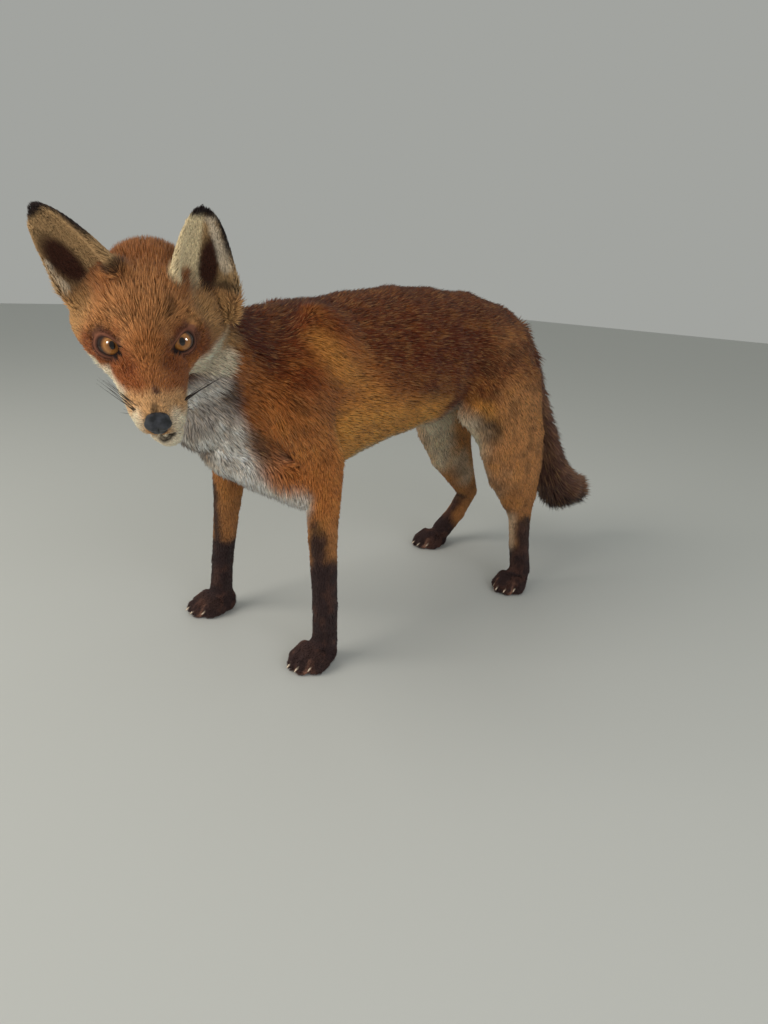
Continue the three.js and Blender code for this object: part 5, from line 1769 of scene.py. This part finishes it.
@dataclass(frozen=True)
class WhiskerFinish:
    """Whisker: stiff black keratin with a slight gloss."""

    def material(self) -> bpy.types.Material:
        """Builds the finish."""
        made, tree, shader = new_material("whisker_keratin")
        place = add_node(tree, "ShaderNodeTexCoord").outputs["Object"]
        tone = add_node(tree, "ShaderNodeTexNoise", {"Vector": place, "Scale": 300.0}).outputs[0]
        ramp = add_node(tree, "ShaderNodeValToRGB", {0: tone})
        ramp_stops(ramp, ((0.0, "#120d0c"), (1.0, "#2c211c")))
        tree.links.new(ramp.outputs[0], shader.inputs["Base Color"])
        shader.inputs["Roughness"].default_value = 0.4
        return made


# ---------------------------------------------------------------- eyes, nose, whiskers and claws
@dataclass
class GlassEye:
    """One glass eye with a slightly bulged front."""

    sign: int
    rings: int = 40
    spokes: int = 56
    bulge: float = 0.7

    def build(self) -> bpy.types.Object:
        """Makes the eye as a closed ball about its gaze."""
        socket = SOCKETS[0 if self.sign > 0 else 1]
        side, across, gaze = socket.look_axes()
        points = [gaze * (EYE_RADIUS + self.bulge)]
        for i in range(1, self.rings):
            polar = math.pi * i / self.rings
            radius = EYE_RADIUS + self.bulge * math.exp(-((math.degrees(polar) / 34.0) ** 4))
            for j in range(self.spokes):
                a = 2.0 * math.pi * j / self.spokes
                flat = side * math.cos(a) + across * math.sin(a)
                points.append(radius * (gaze * math.cos(polar) + flat * math.sin(polar)))
        points.append(-gaze * EYE_RADIUS)
        last = len(points) - 1
        faces: list[tuple[int, ...]] = []
        for j in range(self.spokes):
            k = (j + 1) % self.spokes
            faces.append((0, 1 + j, 1 + k))
            for i in range(self.rings - 2):
                a = 1 + i * self.spokes
                faces.append((a + j, a + self.spokes + j, a + self.spokes + k, a + k))
            faces.append((last, last - self.spokes + k, last - self.spokes + j))
        name = "glass_eye_left" if self.sign > 0 else "glass_eye_right"
        piece = mesh_object(name, np.array(points) + socket.centre(), faces)
        piece.data.materials.append(GlassEyeFinish(self.sign).material())
        return piece


@dataclass
class Nose:
    """The nose pad with its nostrils and split."""

    at: Point = (2.5, -70, -16)
    radii: Point = (7.9, 7.0, 7.5)
    tip: float = 20.0
    step: float = 0.55

    def distance(self, p: np.ndarray) -> np.ndarray:
        """Signed distance to the pad, in its own frame: -Y forwards, +Z up."""
        taper = 1.0 + 0.030 * np.clip(p[:, 2], -8, 4)
        q = p / np.array(self.radii) / np.stack((taper, np.ones_like(taper), np.ones_like(taper)), axis=1)
        d = (np.power(np.sum(np.abs(q) ** 2.4, axis=1), 1 / 2.4) - 1.0) * min(self.radii)
        for s in (1, -1):
            hole = line_distance(p, ((s * 3.4, -7.4, -0.6), (s * 5.1, -5.6, -1.6), (s * 7.9, -2.6, -0.2)))
            d = -melted(-d, hole - 1.25, 1.2)
            wing = line_distance(p, ((s * 3.9, -5.4, 3.4), (s * 6.7, -2.6, 2.8)))
            d = melted(d, wing - 2.2, 2.0)
        split = np.maximum(np.abs(p[:, 0]) - 0.35, p[:, 1] + 5.6)
        return -melted(-d, np.maximum(split, p[:, 2] - 3.5), 0.8)

    def build(self) -> bpy.types.Object:
        """Makes the pad."""
        reach = np.arange(-12.0, 12.0, self.step)
        mesh = np.meshgrid(reach, reach, reach, indexing="ij")
        loose = np.stack([m.ravel() for m in mesh], axis=1)
        d = self.distance(loose).reshape(mesh[0].shape)
        points, faces = surface_net(d, (reach, reach, reach))
        placed = from_head(points @ turned("X", self.tip).T + np.array(self.at))
        piece = mesh_object("nose_pad", placed, faces)
        smoothing = piece.modifiers.new("soften", "SMOOTH")
        smoothing.factor, smoothing.iterations = 0.5, 3
        piece.data.materials.append(NoseFinish().material())
        return piece


@dataclass(frozen=True)
class Bundle:
    """Whiskers that sweep back together from one pad of the upper lip, in the head's frame."""

    root: Point
    spread: float
    heading: Point
    length: float
    count: int


@dataclass
class Whiskers:
    """Stiff dark whiskers that sweep back from the pads of the upper lip."""

    bundles: tuple[Bundle, ...] = (
        Bundle((21.0, -49.5, -15.5), 1.8, (0.78, 0.60, 0.06), 34.0, 7),
        Bundle((-12.5, -54.0, -12.0), 3.4, (-0.60, 0.80, 0.0), 38.0, 8),
        Bundle((12.0, -56.0, -22.0), 3.0, (0.75, 0.60, -0.25), 22.0, 5),
        Bundle((-10.0, -58.0, -20.0), 3.0, (-0.70, 0.70, -0.20), 18.0, 3),
    )
    root_radius: float = 0.34
    sides: int = 5
    links: int = 10

    def path(self, bundle: Bundle, draw: np.random.Generator) -> np.ndarray:
        """The line that one whisker follows, in the head's frame."""
        root = np.array(bundle.root) + bundle.spread * draw.uniform(-1, 1, 3) * (0.5, 1.0, 0.6)
        length = bundle.length * draw.uniform(0.7, 1.1)
        heading = unit(np.array(bundle.heading) + 0.11 * draw.uniform(-1, 1, 3))
        droop = np.array((0.0, 0.12, -0.10 + 0.06 * draw.uniform(-1, 1)))
        t = np.linspace(0.0, 1.0, self.links)[:, None]
        return root - heading * 4.0 + (heading * t + droop * t * t) * (length + 4.0)

    def build(self, material: bpy.types.Material) -> bpy.types.Object:
        """Makes every whisker as a tapered closed tube."""
        draw = np.random.default_rng(7)
        points: list[np.ndarray] = []
        faces: list[tuple[int, ...]] = []
        for bundle in self.bundles:
            for _ in range(bundle.count):
                self.tube(self.path(bundle, draw), points, faces)
        piece = mesh_object("whiskers", from_head(np.array(points)), faces)
        piece.data.materials.append(material)
        return piece

    def tube(self, path: np.ndarray, points: list, faces: list) -> None:
        """Adds one tapered tube round a line."""
        start = len(points)
        heading = unit(np.gradient(path, axis=0))
        side = unit(np.cross(heading, np.array((0.0, 0.0, 1.0))))
        high = np.cross(side, heading)
        for i, centre in enumerate(path):
            radius = self.root_radius * (1.0 - 0.85 * i / (len(path) - 1))
            for j in range(self.sides):
                a = 2 * math.pi * j / self.sides
                points.append(centre + radius * (side[i] * math.cos(a) + high[i] * math.sin(a)))
        for i in range(len(path) - 1):
            for j in range(self.sides):
                a, b = start + i * self.sides + j, start + i * self.sides + (j + 1) % self.sides
                faces.append((a, b, b + self.sides, a + self.sides))
        faces.append(tuple(range(start + self.sides - 1, start - 1, -1)))
        faces.append(tuple(range(len(points) - self.sides, len(points))))


@dataclass
class Claws:
    """The claws of one foot, each a curved cone that starts inside its toe."""

    leg: str
    length: float = 13.0
    radius: float = 2.2
    droop: float = 40.0
    sides: int = 12
    rings: int = 9

    def build(self, material: bpy.types.Material) -> bpy.types.Object:
        """Makes the four claws as one piece."""
        foot = Foot(self.leg)
        points: list[np.ndarray] = []
        faces: list[tuple[int, ...]] = []
        along: list[float] = []
        for x, y, reach in TOES:
            start = len(points)
            origin = np.array((x, y - reach + 1.0, 10.0))
            for i in range(self.rings):
                t = i / (self.rings - 1)
                angle = math.radians(self.droop) * t
                centre = origin + self.length * t * np.array((0.0, -1.0, -math.tan(angle / 2)))
                r = self.radius * math.sqrt(1.0 - t) * (1.0 - 0.25 * t) + 0.12
                for j in range(self.sides):
                    a = 2 * math.pi * j / self.sides
                    up = r * math.sin(a)
                    ring = (0.8 * r * math.cos(a), -up * math.sin(angle), up * math.cos(angle))
                    points.append(foot.place(centre + np.array(ring)))
                    along.append(t)
            for i in range(self.rings - 1):
                for j in range(self.sides):
                    a, b = start + i * self.sides + j, start + i * self.sides + (j + 1) % self.sides
                    faces.append((a, b, b + self.sides, a + self.sides))
            faces.append(tuple(range(start + self.sides - 1, start - 1, -1)))
            faces.append(tuple(range(len(points) - self.sides, len(points))))
        piece = mesh_object("claws_" + self.leg, np.array(points), faces)
        store(piece.data, "along", np.array(along))
        piece.data.materials.append(material)
        return piece


# ---------------------------------------------------------------- studio
@dataclass
class Studio:
    """Pale floor, soft light from the fox's front and left, and the camera.

    The camera's place and axes are in the body's frame. The lamps stand in the scene's frame, in metres.
    """

    focal_mm: float = 25.38
    camera_at: Point = (597.657, -567.779, 380.0)
    right: Point = (0.6776, 0.7337, 0.0518)
    down: Point = (0.2627, -0.1756, -0.9488)
    forward: Point = (-0.6871, 0.6564, -0.3117)
    floor_colour: str = "#c6c8c4"
    air_colour: str = "#c9cbc6"
    air_strength: float = 0.62
    floor_reach: float = 6.0
    floor_roughness: float = 0.55

    def camera(self) -> None:
        """Places the camera."""
        data = bpy.data.cameras.new("view")
        data.lens, data.sensor_width, data.sensor_fit = self.focal_mm, 36.0, "AUTO"
        data.clip_start = 0.01
        axes = np.stack((self.right, -np.array(self.down), -np.array(self.forward)), axis=1)
        turn, _, other = np.linalg.svd(axes)
        place = np.eye(4)
        place[:3, :3] = turn @ other
        place[:3, 3] = to_scene(np.array(self.camera_at))
        made = bpy.data.objects.new("view", data)
        made.matrix_world = Matrix(place.tolist())
        bpy.context.scene.collection.objects.link(made)
        bpy.context.scene.camera = made

    def floor(self) -> None:
        """Lays the pale floor."""
        reach = self.floor_reach
        mesh = bpy.data.meshes.new("floor")
        corners = [(-reach, -reach, 0.0), (reach, -reach, 0.0), (reach, reach, 0.0), (-reach, reach, 0.0)]
        mesh.from_pydata(corners, [], [(0, 1, 2, 3)])
        made = bpy.data.objects.new("floor", mesh)
        material, _, shader = new_material("painted_board")
        shader.inputs["Base Color"].default_value = rgba(self.floor_colour)
        shader.inputs["Roughness"].default_value = self.floor_roughness
        mesh.materials.append(material)
        bpy.context.scene.collection.objects.link(made)

    def lamp(
        self, name: str, at: Point, towards: Point, size: float, watts: float, colour: str
    ) -> bpy.types.Object:
        """Hangs one soft square lamp, which smooth glass doesn't mirror.

        Args:
            name: Name of the lamp.
            at: Where it hangs, in scene metres.
            towards: What it faces.
            size: Edge length in metres.
            watts: Its power.
            colour: Its sRGB hex colour.

        Returns:
            The lamp.
        """
        data = bpy.data.lights.new(name, "AREA")
        data.size, data.energy = size, watts
        data.color = tuple(float(c) for c in linear(colour))
        made = bpy.data.objects.new(name, data)
        made.location = at
        aim = Vector(towards) - Vector(at)
        made.rotation_euler = aim.to_track_quat("-Z", "Y").to_euler()
        made.visible_glossy = False
        bpy.context.scene.collection.objects.link(made)
        return made

    def spark(self, socket: Socket, azimuth: float, height: float) -> None:
        """Hangs the small lamp that puts a point of light in one glass eye, and lights nothing else.

        Args:
            socket: The eye's socket.
            azimuth: Direction of the lamp from the eye, in degrees from +X towards +Y.
            height: Its height above the eye, in degrees.
        """
        side = "left" if socket.sign > 0 else "right"
        eye = to_scene(socket.centre())
        a, b = math.radians(azimuth), math.radians(height)
        at = eye + np.array((math.cos(a) * math.cos(b), math.sin(a) * math.cos(b), math.sin(b)))
        made = self.lamp("spark_" + side, tuple(at), tuple(eye), 0.24, 14.0, "#fff6ea")
        made.visible_glossy = True
        made.visible_diffuse = False
        lit = bpy.data.collections.new("lit_by_spark_" + side)
        lit.objects.link(bpy.data.objects["glass_eye_" + side])
        made.light_linking.receiver_collection = lit

    def glow(self) -> None:
        """Hangs a low wide lamp for the light that a pale table throws up, on the fox alone."""
        made = self.lamp("table_glow", (0.5, -1.5, 0.05), (0.0, 0.0, 0.22), 1.2, 10.0, "#fff6e8")
        lit = bpy.data.collections.new("lit_by_table_glow")
        for piece in bpy.context.scene.objects:
            if piece.type == "MESH":
                lit.objects.link(piece)
        made.light_linking.receiver_collection = lit

    def build(self) -> None:
        """Sets up floor, air, lamps and camera."""
        scene = bpy.context.scene
        scene.view_settings.view_transform = "Standard"
        world = bpy.data.worlds.new("air")
        world.use_nodes = True
        air = next(n for n in world.node_tree.nodes if n.type == "BACKGROUND")
        air.inputs["Color"].default_value = rgba(self.air_colour)
        air.inputs["Strength"].default_value = self.air_strength
        scene.world = world
        self.lamp("window", (-0.5, -1.7, 1.5), (0.0, 0.0, 0.2), 1.4, 26.0, "#fff8ee")
        self.lamp("bounce", (1.8, -0.6, 1.0), (0.0, 0.0, 0.2), 1.6, 15.0, "#f6f7fb")
        self.spark(SOCKETS[0], 30.0, 19.0)
        self.spark(SOCKETS[1], -50.0, 30.0)
        self.glow()
        self.floor()
        self.camera()


# ---------------------------------------------------------------- the whole fox
FLESH = (
    "head", "muzzle", "ear_left", "ear_right", "neck", "chest", "belly", "rump",
    "tail_root", "tail_middle", "tail_tip",
)
LIMBS = ("shoulder", "forearm", "forepaw", "thigh", "shank", "hock", "hindpaw")


def settle_piece(piece: bpy.types.Object, slot: str, *nodes: str) -> None:
    """Ties a finished piece to the body and hides the nodes that it stands for."""
    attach(piece, "root")
    if nodes:
        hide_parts(*nodes)
    LOG.info("%s: %d faces", piece.name, len(piece.data.polygons))


def main() -> None:
    """Builds the fox from its hide outwards, then the studio."""
    skin = Skin().build(HideFinish().material())
    limbs = tuple(f"{part}_{side}" for part in LIMBS for side in ("left", "right"))
    layers = Coat().build(skin, CoatFinish().material())
    settle_piece(skin, "coat", *FLESH, *limbs)
    for layer in layers:
        settle_piece(layer, "coat")
    for sign, side in ((1, "left"), (-1, "right")):
        settle_piece(GlassEye(sign).build(), "eye", "eye_" + side)
    settle_piece(Nose().build(), "nose", "nose")
    settle_piece(Whiskers().build(WhiskerFinish().material()), "claw")
    horn = ClawFinish().material()
    for leg in LEGS:
        nodes = [f"claw_{leg}_{i}" for i in range(1, 5)]
        settle_piece(Claws(leg).build(horn), "claw", *nodes)
    Studio().build()


if __name__ == "__main__":
    main()
